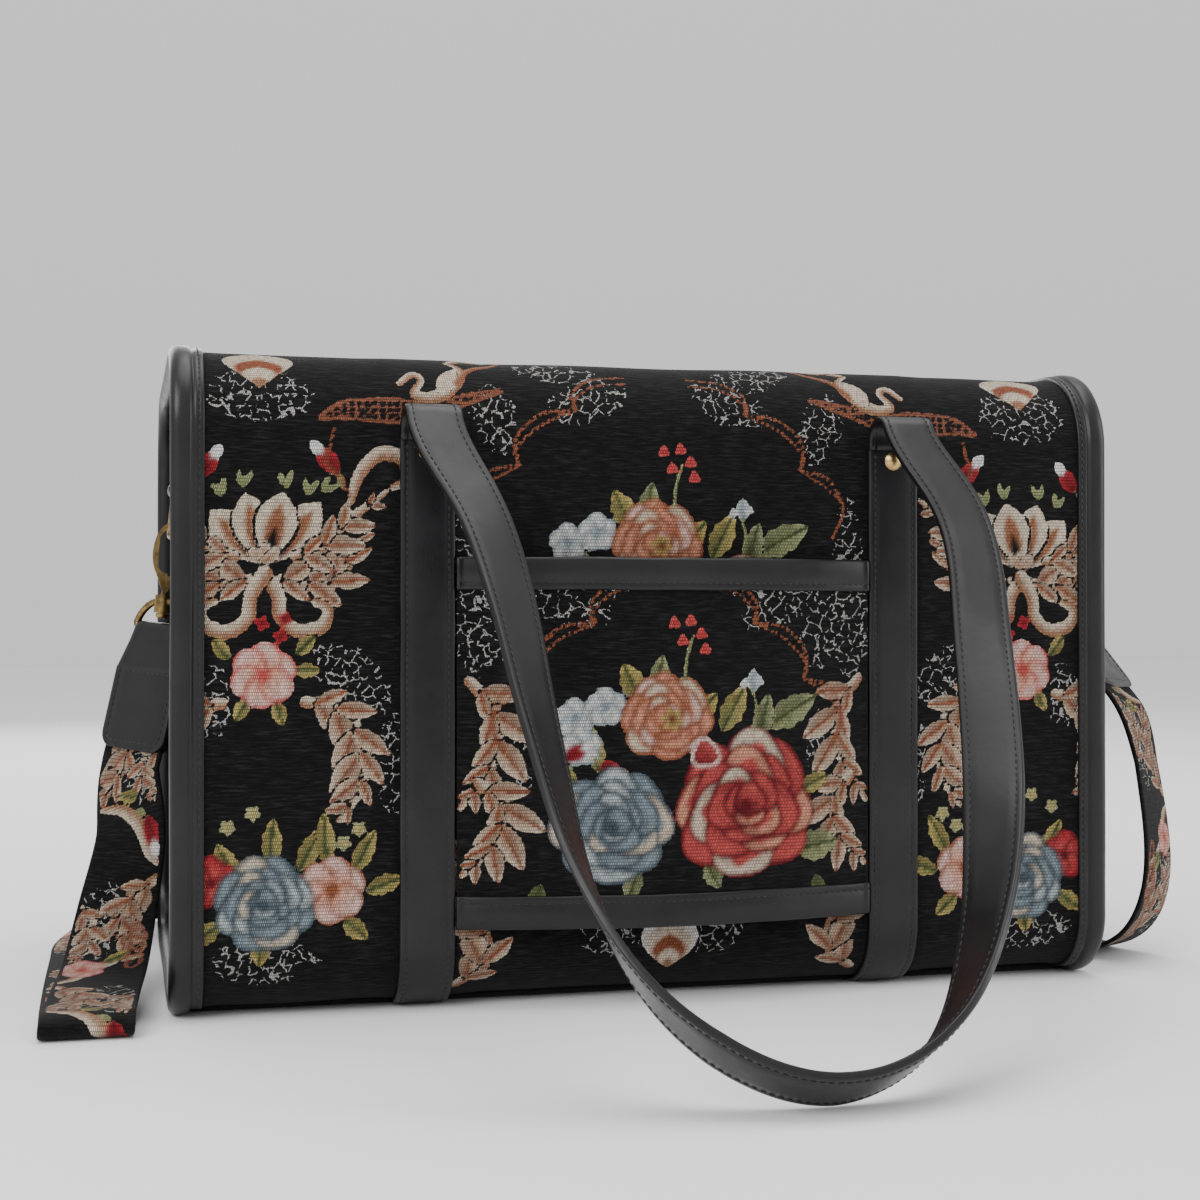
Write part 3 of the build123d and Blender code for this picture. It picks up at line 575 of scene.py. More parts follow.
def scallops(canvas, base, spread):
    # half of the dotted medallion outline; base is its height at the middle
    for inset, width in ((0, 1.7), (5, 1.5)):
        arcs = [
            [
                (-spread * 0.16, base - inset), (-spread * 0.34, base - 3 - inset),
                (-spread * 0.46, base - 13 - inset), (-spread * 0.44, base - 22)
            ],
            [
                (-spread * 0.44, base - 22), (-spread * 0.62, base - 24 - inset),
                (-spread * 0.76, base - 36 - inset), (-spread * 0.74, base - 48)
            ],
            [
                (-spread * 0.74, base - 48), (-spread * 0.90, base - 52 - inset),
                (-spread * 0.98, base - 66), (-spread * 0.92, base - 80)
            ],
        ]
        for arc in arcs:
            stroke(canvas, arc, (width, width), "copper", "rust", dotted=2.8)
    laceCloud(canvas, (-spread * 0.50, base + 2), spread * 0.28, 11, -0.35)
    laceCloud(canvas, (-spread * 0.86, base - 26), 11, 20, 0.3)


def bouquet(canvas):
    # peach flower, red rose and grey rose; the middle of the red rose is the origin
    for x, y, way, size, wide, light, dark in (
        (10, 36, 28, 30, 14, "sage", "olive"), (26, -22, 10, 22, 15, "sage", "olive"),
        (-12, 34, 62, 24, 12, "gold", "olive"),
        (-50, 48, 118, 20, 12, "gold", "olive"), (-44, 50, 80, 20, 10, "sage", "olive"),
        (-26, 38, 50, 18, 10, "gold", "olive"),
        (6, 30, 75, 22, 10, "sage", "fern"), (-80, 12, 150, 16, 9, "gold", "olive"),
        (-70, 16, 100, 22, 9, "gold", "olive"),
        (28, 6, 25, 16, 9, "gold", "olive"), (-52, -28, 250, 16, 9, "sage", "olive"),
        (-20, -26, 300, 14, 9, "sage", "olive"),
    ):
        leaf(canvas, (x, y), way, size, wide, light, dark)
    for x, y in ((-81, 41), (-67, 46), (-78, 28)):
        openFlower(canvas, (x, y), 8.2, 5, "mist", "white", "slate")
    bud(canvas, (-86, 22), 30, 13, "white", "red")
    bud(canvas, (-70, 20), -20, 12, "peach", "red")
    rose(canvas, (-64, -8), 25, "deepSlate", "slate", "mist", 11)
    rose(canvas, (-38, 41), 19, "rust", "peach", "pink", 12)
    disc(canvas, (-36, 40), 4.4, "wine", "gold", 6, 0.2)
    rose(canvas, (0, 0), 32, "wine", "blush", "peach", 13)
    disc(canvas, (-20, 24), 7, "wine", "blush", 3, 0.1, 1.2, "pink")
    petal(canvas, (4, 52), 92, 11, 7, "slate", "mist")
    sprig(canvas, [(4, 34), (5, 46), (3, 53)], [(-1, 56), (7, 57)], "mist", 2.0)
    sprig(
        canvas, [(-30, 58), (-29, 68), (-26, 78)], [(-31, 76), (-22, 79), (-27, 85), (-35, 84), (-20, 72)],
        "red", 2.6
    )


def panelPattern(canvas, axis, full):
    for side in (canvas, mirrored(canvas, axis)):
        sideSpray(side)
        shoulderScrolls(side)
        scallops(moved(side, axis, 0), onCloth(292), 92)
        laceCloud(side, (axis - 34, onCloth(280)), 22, 12, 0.5)
        acanthus(moved(side, axis, 0), [(-96, 8), (-84, 22), (-88, 42), (-98, 58), (-92, 78)], 14, 6, 1)
        laceCloud(side, (axis - 26, 34), 18, 14, -0.6)
        laceCloud(side, (axis - 92, 196), 9, 40)
        sideSpray(moved(side, 0, 300))
        acanthus(moved(side, axis, 300), [(-96, 8), (-84, 22), (-88, 42), (-98, 58), (-92, 78)], 14, 6, 1)
        laceCloud(side, (axis - 26, 334), 18, 14, -0.6)
        if full:
            acanthus(moved(side, axis, 0), [(-92, 150), (-82, 132), (-86, 112), (-96, 92)], 13, 5, 1)
    bouquet(moved(canvas, axis + 36, 108 if full else 172))
    for base in (12, 318):
        for size, shade in ((32, "white"), (26, "cream"), (19, "rust"), (12, "cream"), (6, "tan")):
            petal(canvas, (axis + 4, base), 90, size, size * 0.86, shade, shade, belly=1.2)


def finished(canvas, seed):
    # thread by thread unevenness
    rng = np.random.default_rng(seed)
    canvas["dye"] = np.clip(canvas["dye"] * rng.uniform(0.82, 1.14, (len(canvas["dye"]), 1)), 0, 1)
    canvas["cover"] = np.clip(canvas["cover"] + rng.normal(0, 0.07, len(canvas["cover"])), 0, 1)
    canvas["lace"] = canvas["lace"] * (canvas["cover"] < 0.45)
    return canvas


# finishes
def mathNode(tree, operation, first, second=0.0, third=None):
    made = addNode(tree, "ShaderNodeMath", {"operation": operation}, {0: first, 1: second})
    if third is not None:
        made.inputs[2].default_value = third
    return made.outputs[0]


def rangeNode(tree, value, low, high, toLow=0.0, toHigh=1.0):
    inputs = {"Value": value, "From Min": low, "From Max": high, "To Min": toLow, "To Max": toHigh}
    return addNode(tree, "ShaderNodeMapRange", None, inputs).outputs[0]


def mixColour(tree, share, low, high, way="MIX"):
    made = addNode(tree, "ShaderNodeMix", {"data_type": "RGBA", "blend_type": way})
    for socket, value in (("Factor_Float", share), ("A_Color", low), ("B_Color", high)):
        target = next(s for s in made.inputs if s.identifier == socket)
        if isinstance(value, bpy.types.NodeSocket):
            tree.links.new(value, target)
        else:
            target.default_value = value
    return next(s for s in made.outputs if s.identifier == "Result_Color")


def scaled(tree, vector, scale):
    return addNode(tree, "ShaderNodeMapping", None, {"Vector": vector, "Scale": scale}).outputs[0]


def noiseNode(tree, vector, scale=1.0, detail=2.0, roughness=0.5):
    inputs = {"Vector": vector, "Scale": scale, "Detail": detail, "Roughness": roughness}
    return addNode(tree, "ShaderNodeTexNoise", None, inputs).outputs[0]


def bumpInto(tree, shader, height, distance, strength=1.0):
    bump = addNode(
        tree, "ShaderNodeBump", None, {"Height": height, "Distance": distance, "Strength": strength}
    )
    tree.links.new(bump.outputs[0], shader.inputs["Normal"])


def grey(value):
    return (value, value, value, 1)


# the ground is the black pile; the lighter colour given to its raised ridges is painted sheen
tapestryFinish = {
    "threadWide": 0.8, "threadHigh": 1.5, "mortar": 0.15, "ground": (0.0018, 0.0017, 0.0018, 1),
    "ridgeSheen": (0.021, 0.020, 0.021, 1), "laceCell": 185.0, "pile": 0.0006,
}


def tapestryMaterial(name, settings):
    material, tree, shader = blankMaterial(
        name, Roughness=0.9, Sheen_Weight=0.04, Sheen_Roughness=0.45, Specular_IOR_Level=0.14
    )
    cloth = addNode(tree, "ShaderNodeUVMap", {"uv_map": "cloth"}).outputs[0]
    fields = {
        key: addNode(
            tree, "ShaderNodeAttribute", {"attribute_name": key}
        ) for key in ("dye", "cover", "lace")
    }
    threadNoise = noiseNode(tree, scaled(tree, cloth, (420, 880, 1)), 1.0, 1.0)
    wobble = mathNode(tree, "MULTIPLY_ADD", threadNoise, 0.5, -0.25)
    motif = rangeNode(tree, mathNode(tree, "ADD", fields["cover"].outputs["Fac"], wobble), 0.43, 0.55)
    brick = addNode(tree, "ShaderNodeTexBrick", {"offset": 0.5}, {
        "Vector": cloth, "Color1": grey(1.0), "Color2": grey(0.66), "Mortar": grey(0.16), "Scale": 1000.0,
        "Mortar Size": settings["mortar"], "Mortar Smooth": 0.3, "Brick Width": settings["threadWide"],
        "Row Height": settings["threadHigh"]})
    motifColour = mixColour(tree, 1.0, fields["dye"].outputs["Color"], brick.outputs["Color"], "MULTIPLY")
    ridges = noiseNode(tree, scaled(tree, cloth, (110, 1050, 1)), 1.0, 3.0, 0.65)
    clumps = noiseNode(tree, scaled(tree, cloth, (60, 160, 1)), 1.0, 2.0)
    # painted sheen: the ground turns lighter where the pile ridges stand high, in clumps
    sheenShare = mathNode(
        tree, "MULTIPLY", rangeNode(tree, ridges, 0.46, 0.72), rangeNode(tree, clumps, 0.3, 0.75, 0.35, 1.0)
    )
    ground = mixColour(tree, sheenShare, settings["ground"], settings["ridgeSheen"])
    bend = noiseNode(tree, scaled(tree, cloth, (260, 260, 1)), 1.0, 1.0)
    bent = addNode(
        tree, "ShaderNodeVectorMath", {"operation": "MULTIPLY_ADD"},
        {
            0: addNode(tree, "ShaderNodeCombineXYZ", None, {0: bend, 1: bend}).outputs[0],
            1: (0.004, 0.004, 0), 2: cloth
        }
    )
    cells = addNode(
        tree, "ShaderNodeTexVoronoi", {"feature": "DISTANCE_TO_EDGE"},
        {"Vector": bent.outputs[0], "Scale": settings["laceCell"]}
    )
    speckle = noiseNode(tree, scaled(tree, cloth, (330, 330, 1)), 1.0, 1.0)
    line = mathNode(tree, "LESS_THAN", cells.outputs[0], 0.046)
    gate = mathNode(tree, "GREATER_THAN", speckle, 0.47)
    dense = mathNode(
        tree, "GREATER_THAN", fields["lace"].outputs["Fac"], rangeNode(tree, clumps, 0.3, 0.7, 0.15, 0.85)
    )
    lace = mathNode(tree, "MULTIPLY", mathNode(tree, "MULTIPLY", line, gate), dense)
    laceColour = mixColour(tree, 1.0, (0.40, 0.39, 0.37, 1), brick.outputs["Color"], "MULTIPLY")
    whole = mixColour(tree, motif, mixColour(tree, lace, ground, laceColour), motifColour)
    tree.links.new(whole, shader.inputs["Base Color"])
    weave = mathNode(tree, "SUBTRACT", 1.0, brick.outputs["Fac"])
    height = mathNode(
        tree, "ADD", mathNode(tree, "MULTIPLY", weave, mathNode(tree, "MULTIPLY_ADD", motif, 0.35, 0.1)),
        mathNode(tree, "MULTIPLY", ridges, 0.9)
    )
    bumpInto(tree, shader, height, settings["pile"], 0.8)
    return material


leatherFinish = {
    "dark": (0.0050, 0.0048, 0.0054, 1), "pale": (0.0098, 0.0095, 0.0108, 1), "grain": 1500.0, "crease": 70.0
}


def leatherMaterial(name, settings):
    material, tree, shader = blankMaterial(
        name, Coat_Weight=0.06, Coat_Roughness=0.28, Specular_IOR_Level=0.3
    )
    place = addNode(tree, "ShaderNodeTexCoord").outputs["Object"]
    clouds = noiseNode(tree, place, 28.0, 3.0)
    grain = addNode(
        tree, "ShaderNodeTexVoronoi", {"feature": "DISTANCE_TO_EDGE"},
        {"Vector": place, "Scale": settings["grain"]}
    ).outputs[0]
    crease = noiseNode(tree, place, settings["crease"], 5.0, 0.6)
    tree.links.new(
        mixColour(tree, rangeNode(tree, clouds, 0.3, 0.7), settings["dark"], settings["pale"]),
        shader.inputs["Base Color"]
    )
    tree.links.new(rangeNode(tree, crease, 0.3, 0.7, 0.27, 0.42), shader.inputs["Roughness"])
    height = mathNode(
        tree, "ADD", mathNode(tree, "MULTIPLY", grain, 0.35), mathNode(tree, "MULTIPLY", crease, 1.6)
    )
    bumpInto(tree, shader, height, 0.00022, 0.55)
    return material


def metalMaterial(name, bright, dull, rough, amount=260.0):
    material, tree, shader = blankMaterial(name, Metallic=1.0)
    place = addNode(tree, "ShaderNodeTexCoord").outputs["Object"]
    tarnish = noiseNode(tree, place, amount, 4.0, 0.62)
    patches = noiseNode(tree, place, 80.0, 2.0)
    fine = mathNode(tree, "MULTIPLY", tarnish, 0.6)
    broad = mathNode(tree, "MULTIPLY", patches, 0.4)
    share = rangeNode(tree, mathNode(tree, "ADD", fine, broad), 0.38, 0.6)
    tree.links.new(mixColour(tree, share, bright, dull), shader.inputs["Base Color"])
    tree.links.new(rangeNode(tree, tarnish, 0.3, 0.7, rough, rough + 0.22), shader.inputs["Roughness"])
    bumpInto(tree, shader, tarnish, 0.00008, 0.4)
    return material


def clothMaterial(name, low, high, pitch, rough=0.85, slant=0.0):
    # plain woven cloth: fine ribs across noise
    material, tree, shader = blankMaterial(name, Roughness=rough, Sheen_Weight=0.1, Specular_IOR_Level=0.3)
    place = addNode(tree, "ShaderNodeTexCoord").outputs["Object"]
    turned = addNode(
        tree, "ShaderNodeMapping", None, {"Vector": place, "Rotation": (0.0, slant, slant)}
    ).outputs[0]
    ribs = addNode(
        tree, "ShaderNodeTexWave", {"bands_direction": "X"},
        {"Vector": turned, "Scale": pitch, "Distortion": 0.6, "Detail": 1.0}
    ).outputs[1]
    cross = addNode(
        tree, "ShaderNodeTexWave", {"bands_direction": "Z"},
        {"Vector": turned, "Scale": pitch, "Distortion": 0.6, "Detail": 1.0}
    ).outputs[1]
    weave = mathNode(tree, "MULTIPLY", ribs, cross)
    clouds = noiseNode(tree, place, 60.0, 3.0)
    share = mathNode(
        tree, "MULTIPLY", rangeNode(tree, weave, 0.0, 0.8), rangeNode(tree, clouds, 0.25, 0.75, 0.4, 1.0)
    )
    tree.links.new(mixColour(tree, share, low, high), shader.inputs["Base Color"])
    bumpInto(tree, shader, weave, 0.0003, 0.6)
    return material


tapestry = tapestryMaterial("tapestryCloth", tapestryFinish)
leather = leatherMaterial("softLeather", leatherFinish)
brass = metalMaterial("agedBrass", (0.36, 0.25, 0.105, 1), (0.12, 0.078, 0.032, 1), 0.26)
rivetBrass = metalMaterial("rivetBrass", (0.72, 0.50, 0.22, 1), (0.42, 0.28, 0.11, 1), 0.2, 420.0)
thread = clothMaterial("blackThread", (0.010, 0.010, 0.011, 1), (0.030, 0.030, 0.033, 1), 900.0, 0.6)
netThread = clothMaterial("netThread", (0.006, 0.006, 0.007, 1), (0.02, 0.02, 0.022, 1), 900.0, 0.7)
tapeCloth = clothMaterial("tapeCloth", (0.006, 0.006, 0.007, 1), (0.022, 0.022, 0.024, 1), 420.0, 0.8, 0.5)
# the lining is coloured near black, not its own tan: painted shade for the dark inside of the closed bag,
# seen through the netting windows
liningShadeCloth = clothMaterial(
    "liningTwillPaintedShade", (0.006, 0.006, 0.007, 1), (0.026, 0.026, 0.028, 1), 380.0, 0.5, 0.6
)
baseCloth = clothMaterial("baseCloth", (0.008, 0.008, 0.009, 1), (0.028, 0.028, 0.030, 1), 260.0, 0.8)
boardFinish = clothMaterial("baseBoard", (0.02, 0.02, 0.02, 1), (0.035, 0.035, 0.035, 1), 150.0, 0.6)
print("finishes are made")


def paint(node, material):
    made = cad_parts[node]
    if made.material_slots:
        for held in made.material_slots:
            held.link = "OBJECT"
            held.material = material
    else:
        made.data.materials.append(material)


for side in ("left", "right"):
    for part in ("bag_ring", "snap_hook", "hook_gate", "gate_pin", "strap_ring"):
        paint(side + "_" + part, brass)
for part in ("zip_slider", "zip_pull"):
    paint(part, brass)
for part in ("handle_rivets", "chape_rivets"):
    paint(part, rivetBrass)
paint("base_board", boardFinish)


def settle(piece, body, slotName, *nodes):
    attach(piece, body)
    if nodes:
        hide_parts(*nodes)
    return piece


# body panels
bodyShape = {
    "halfLength": 216.0, "halfDepth": 130.0, "top": 300.0, "low": 2.5, "topRound": 37.0, "lowRound": 30.0,
    "zipGap": 13.0, "seamAtBase": 96.0, "fold": 3.0, "step": 1.25, "frontStep": 1.6, "slack": 1.5,
}
lowMark = bodyShape["low"] + bodyShape["lowRound"]
topMark = bodyShape["top"] - bodyShape["topRound"]
clothLow = lowMark - math.pi / 2 * bodyShape["lowRound"] - (
    bodyShape["halfDepth"] - bodyShape["lowRound"] - bodyShape["seamAtBase"]
)
clothHigh = (
    topMark + math.pi / 2 * bodyShape["topRound"]
    + bodyShape["halfDepth"] - bodyShape["topRound"] - bodyShape["zipGap"]
)


def onBody(up, grow=0.0):
    # back side of the body: cloth height to (y, z) and its outward way
    up = np.asarray(up, float)
    lowR, topR = bodyShape["lowRound"], bodyShape["topRound"]
    lowTurn = np.clip((lowMark - up) / lowR, 0, math.pi / 2)
    topTurn = np.clip((up - topMark) / topR, 0, math.pi / 2)
    way = np.stack([-np.cos(lowTurn) * np.cos(topTurn), np.sin(topTurn) - np.sin(lowTurn)], -1)
    y = np.where(up < (lowMark + topMark) / 2, -(bodyShape["halfDepth"] - lowR) - lowR * np.cos(lowTurn),
                 -(bodyShape["halfDepth"] - topR) - topR * np.cos(topTurn))
    y = (
        y + np.maximum(lowMark - up - math.pi / 2 * lowR, 0)
        + np.maximum(up - topMark - math.pi / 2 * topR, 0)
    )
    z = np.clip(up, lowMark, topMark) - lowR * np.sin(lowTurn) + topR * np.sin(topTurn)
    return np.stack([y, z], -1) + way * np.asarray(grow)[..., None], way


def panelHalf(name, face, xFrom, xTo, step, seed):
    settings = bodyShape
    across = np.linspace(xFrom, xTo, int(abs(xTo - xFrom) / step) + 1)
    up = np.linspace(clothLow, clothHigh, int((clothHigh - clothLow) / step) + 1)
    u, v = np.meshgrid(across, up)
    slack = settings["slack"] * (0.5 + 0.5 * ripple(u, v, 5, 7, 0.004, 0.012))
    edge = np.minimum(settings["halfLength"] - abs(u), 14) / 14
    nearStrap = np.clip((np.minimum(abs(abs(u) - 112.5), 30) - 12) / 18, 0.15, 1)
    flat, way = onBody(v, -slack * np.clip(edge, 0.1, 1) * nearStrap - 0.25)
    points = np.stack([u, flat[..., 0], flat[..., 1]], -1)
    ways = np.stack([np.zeros_like(u), way[..., 0], way[..., 1]], -1)
    canvas = newCanvas(u, v)
    panelPattern(canvas, -2.0, face > 0)
    finished(canvas, seed)
    rows, columns = u.shape
    # the cut edges are folded in
    folds, extra = [], points.reshape(-1, 3)
    index = np.arange(rows * columns).reshape(rows, columns)
    border = np.concatenate([index[0, :-1], index[:-1, -1], index[-1, :0:-1], index[:0:-1, 0]])
    sunk = extra[border] - ways.reshape(-1, 3)[border] * settings["fold"]
    start = len(extra)
    ring = start + np.arange(len(border))
    folds = np.stack([border, ring, np.roll(ring, -1), np.roll(border, -1)], -1)
    middle = abs(extra[border, 0]) < 0.01
    folds = folds[~(middle & np.roll(middle, -1))]
    points = np.concatenate([extra, sunk])
    if face > 0:
        points = points * (1, -1, 1)
    faces = gridFaces(rows, columns)
    faceSets = [faces, folds]
    if face > 0:
        faceSets = [part[:, ::-1] for part in faceSets]
    order = np.concatenate([np.arange(rows * columns), border])
    cloth = np.stack([u.ravel(), v.ravel()], -1)[order]
    fields = {key: canvas[key][order] for key in ("cover", "lace")}
    return makeMesh(name, points, faceSets, tapestry, cloth, canvas["dye"][order], fields)


fine = 1.0
for face, faceName in ((-1, "back"), (1, "front")):
    step = (bodyShape["step"] if face < 0 else bodyShape["frontStep"]) * fine
    for side, sideName in ((-1, "Left"), (1, "Right")):
        ends = (-bodyShape["halfLength"], 0) if side < 0 else (0, bodyShape["halfLength"])
        half = panelHalf(faceName + "Tapestry" + sideName, face, *ends, step, 20 + side)
        settle(half, "root", "tapestry", faceName + "_panel")
print("tapestry panels are woven")


# stitches, by geometry nodes
stitchRuns = {"root": [], "back_handle": [], "front_handle": []}
stitchSize = {"pitch": 3.4, "length": 1.2, "wide": 0.4}


def addStitches(body, centres):
    stitchRuns[body].append(np.asarray(centres, float))


def groupInput(tree, name, kind, default):
    socket = tree.interface.new_socket(name=name, in_out="INPUT", socket_type=kind)
    if default is not None:
        socket.default_value = default
    return socket


def stitchTree(settings):
    tree = bpy.data.node_groups.new("stitchRun", "GeometryNodeTree")
    groupInput(tree, "Geometry", "NodeSocketGeometry", None)
    groupInput(tree, "pitch", "NodeSocketFloat", settings["pitch"] * unit)
    groupInput(tree, "length", "NodeSocketFloat", settings["length"] * unit)
    groupInput(tree, "wide", "NodeSocketFloat", settings["wide"] * unit)
    tree.interface.new_socket(name="Geometry", in_out="OUTPUT", socket_type="NodeSocketGeometry")
    given = addNode(tree, "NodeGroupInput").outputs
    curve = addNode(tree, "GeometryNodeMeshToCurve", None, {"Mesh": given["Geometry"]}).outputs[0]
    along = addNode(
        tree, "GeometryNodeCurveToPoints", {"mode": "LENGTH"}, {"Curve": curve, "Length": given["pitch"]}
    )
    ball = addNode(
        tree, "GeometryNodeMeshUVSphere", None, {"Segments": 6, "Rings": 5, "Radius": 1.0}
    ).outputs[0]
    size = addNode(
        tree, "ShaderNodeCombineXYZ", None, {0: given["wide"], 1: given["wide"], 2: given["length"]}
    ).outputs[0]
    grain = addNode(tree, "GeometryNodeTransform", None, {"Geometry": ball, "Scale": size}).outputs[0]
    places = {"Points": along.outputs["Points"], "Instance": grain, "Rotation": along.outputs["Rotation"]}
    placed = addNode(tree, "GeometryNodeInstanceOnPoints", None, places).outputs[0]
    real = addNode(tree, "GeometryNodeRealizeInstances", None, {"Geometry": placed}).outputs[0]
    smooth = addNode(tree, "GeometryNodeSetShadeSmooth", None, {"Geometry": real}).outputs[0]
    finish = addNode(
        tree, "GeometryNodeSetMaterial", None, {"Geometry": smooth, "Material": thread}
    ).outputs[0]
    out = addNode(tree, "NodeGroupOutput")
    tree.links.new(finish, out.inputs[0])
    return tree


def bakeNodes(carrier, tree, name, material, inputs=None):
    modifier = carrier.modifiers.new("nodes", "NODES")
    modifier.node_group = tree
    for item in tree.interface.items_tree:
        if inputs and item.in_out == "INPUT" and item.name in inputs:
            modifier[item.identifier] = inputs[item.name]
    depsgraph = bpy.context.evaluated_depsgraph_get()
    mesh = bpy.data.meshes.new_from_object(carrier.evaluated_get(depsgraph), depsgraph=depsgraph)
    carrier.modifiers.remove(modifier)
    bpy.data.objects.remove(carrier)
    mesh.name = name
    if not mesh.materials:
        mesh.materials.append(material)
    made = bpy.data.objects.new(name, mesh)
    bpy.context.scene.collection.objects.link(made)
    return made


def lineCarrier(name, runs):
    points = np.concatenate(runs) * unit
    edges, start = [], 0
    for run in runs:
        edges += [(start + i, start + i + 1) for i in range(len(run) - 1)]
        start += len(run)
    mesh = bpy.data.meshes.new(name)
    mesh.from_pydata(points.tolist(), edges, [])
    carrier = bpy.data.objects.new(name, mesh)
    bpy.context.scene.collection.objects.link(carrier)
    return carrier


# leather straps
def leatherSection(width, thick, low=None, stitchIn=3.0, crown=0.12, dip=0.2):
    # a folded strap's outline, counter-clockwise; low lets its underside sink
    half, t = width / 2, thick / 2
    top = [
        (half - 0.9, t - 0.04), (half - stitchIn + 0.8, t + 0.02), (half - stitchIn, t - dip),
        (half - stitchIn - 0.9, t + 0.03), (half * 0.45, t + crown), (0, t + crown)
    ]
    edge = [
        (half - 0.3, -t + 0.35), (half, -t * 0.5), (half - 0.32, 0.0), (half, t * 0.5),
        (half - 0.3, t - 0.35)
    ]
    if low is not None:
        edge = [(half, low), (half, t - 0.9), (half - 0.25, t - 0.35)]
        under = [(-half, low)]
        return under + edge + top + [(-x, y) for x, y in top[-2::-1]] + [(-x, y) for x, y in edge[:0:-1]]
    bottom = [(x, -y) for x, y in top]
    return ([(-x, y) for x, y in bottom[:-1]] + [bottom[-1]] + bottom[-2::-1] + edge + top
            + [(-x, y) for x, y in top[-2::-1]] + [(-x, y) for x, y in edge[::-1]])


strapShape = {"x": 112.5, "width": 25.0, "thick": 2.5, "top": 260.7, "stitchIn": 3.0}
xAxis, yAxis, zAxis = np.eye(3)


def mirrorY(piece):
    piece.data.transform(Matrix.Diagonal((1, -1, 1, 1)))
    piece.data.flip_normals()


def sewnStrap(face, side):
    settings = strapShape
    up = np.linspace(-14.4, settings["top"], 150)
    flat, way = onBody(up, 0.0)
    centres = np.stack([np.full(len(up), side * settings["x"]), flat[:, 0], flat[:, 1]], -1)
    ups = np.stack([np.zeros(len(up)), way[:, 0], way[:, 1]], -1)
    centres = (
        centres + ups * (settings["thick"] / 2 - 0.05) + ripple(up, side * 40, 7)[:, None] * 0.12 * xAxis
    )
    section = np.array(leatherSection(settings["width"], settings["thick"], low=-2.4, crown=0.1))
    sections = np.repeat(section[None], len(up), 0)
    swell = ripple(up[:, None], section[:, 0][None] * 3, 8 + side, 5, 0.012, 0.03) * 0.14
    sections[..., 1] += np.where(section[:, 1] > 0.6, swell, 0)
    name = ("back" if face < 0 else "front") + "Strap" + ("Left" if side < 0 else "Right")
    strap = sweep(name, centres, np.tile(xAxis, (len(up), 1)), ups, sections, leather)
    for edge in (-1, 1):
        line = (
            centres + xAxis * edge * (settings["width"] / 2 - settings["stitchIn"])
            + ups * (settings["thick"] / 2 - 0.02)
        )
        line = line[4:-3] * (1, -face, 1)
        addStitches("root", line)
    row = np.linspace(-9.4, 9.4, 12)[:, None] * xAxis + centres[-4] + ups[-4] * (settings["thick"] / 2)
    addStitches("root", row * (1, -face, 1))
    if face > 0:
        mirrorY(strap)
    nodes = (("back" if face < 0 else "front") + "_strap_" + ("left" if side < 0 else "right"),)
    settle(strap, "root", "leather", *nodes)


for face in (-1, 1):
    for side in (-1, 1):
        sewnStrap(face, side)

loopShape = {
    "width": 25.0, "thick": 3.4, "bendR": 10.0, "bendY": -141.7, "bendZ": 262.0, "lean": 36.0,
    "bendSteps": 26, "count": 330,
    "points": (
        (-112.5, 0, 0), (-101, 42, 9), (-89, 110, 28), (-84.5, 185, 46), (-72, 253, 68), (-40, 302, 86),
        (6, 319.5, 90),
        (48, 302, 85), (80, 254, 60), (102, 188, 27), (118, 112, 9), (123, 42, 2), (112.5, 0, 0)),
}


def handleLoop(face):
    settings = loopShape
    lean = math.radians(settings["lean"])
    down = np.array([0, -math.sin(lean), -math.cos(lean)])
    outward = np.array([0, -math.cos(lean), math.sin(lean)])
    bend = np.array([0, settings["bendY"], settings["bendZ"]])
    topPoint = bend + outward * settings["bendR"]
    points = np.array([topPoint + xAxis * x + down * drop for x, drop, _ in settings["points"]])
    curve, ways, places, marks = smoothCurve(points, down, -down, settings["count"])
    twist = np.radians(np.interp(places, marks, [turn for _, _, turn in settings["points"]]))[:, None]
    outer = np.cross(ways, outward)
    across = unitRows(outer * np.cos(twist) + outward * np.sin(twist))
    turn = np.linspace(0, math.pi - lean, settings["bendSteps"], endpoint=False)
    arc = np.stack([np.zeros_like(turn), np.cos(turn), np.sin(turn)], -1) * settings["bendR"] + bend
    arc = np.concatenate([arc[:1] - (0, 0, settings["thick"]), arc])
    leftEnd = arc - xAxis * strapShape["x"]
    rightEnd = (arc + xAxis * strapShape["x"])[::-1]
    centres = np.concatenate([leftEnd, curve, rightEnd])
    across = np.concatenate([-np.tile(xAxis, (len(arc), 1)), across, np.tile(xAxis, (len(arc), 1))])
    ways = unitRows(np.gradient(centres, axis=0))
    across = unitRows(across - ways * np.sum(across * ways, 1, keepdims=True))
    ups = np.cross(ways, across)
    section = np.array(leatherSection(settings["width"], settings["thick"], crown=0.05))
    lengths = np.concatenate([[0], np.cumsum(np.linalg.norm(np.diff(centres, axis=0), axis=1))])
    centres = centres + (
        ups * (ripple(lengths, 0 * lengths, 31, 5, 0.006, 0.02) * 0.5)[:, None]
        * np.clip((lengths - 40) / 60, 0, 1)[:, None]
        * np.clip((lengths[-1] - 40 - lengths) / 60, 0, 1)[:, None]
    )
    sections = np.repeat(section[None], len(centres), 0)
    sections[..., 0] *= 1 + ripple(lengths, 3 + 0 * lengths, 33, 4, 0.01, 0.02)[:, None] * 0.012
    name = ("back" if face < 0 else "front") + "HandleLoop"
    body = ("back" if face < 0 else "front") + "_handle"
    loop = sweep(name, centres, across, ups, sections, leather)
    keep = slice(6, -6)
    for edge in (-1, 1):
        for layer in (-1, 1):
            line = (
                centres + across * edge * (settings["width"] / 2 - 3.0)
                + ups * layer * (settings["thick"] / 2 - 0.02)
            )
            addStitches(body, line[keep] * (1, -face, 1))
    if face > 0:
        mirrorY(loop)
    return loop, body


def blendHandle(piece):
    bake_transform(piece)


for face in (-1, 1):
    loop, body = handleLoop(face)
    blendHandle(loop)
    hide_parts(body + "_loop")
print("straps and handles are cut")


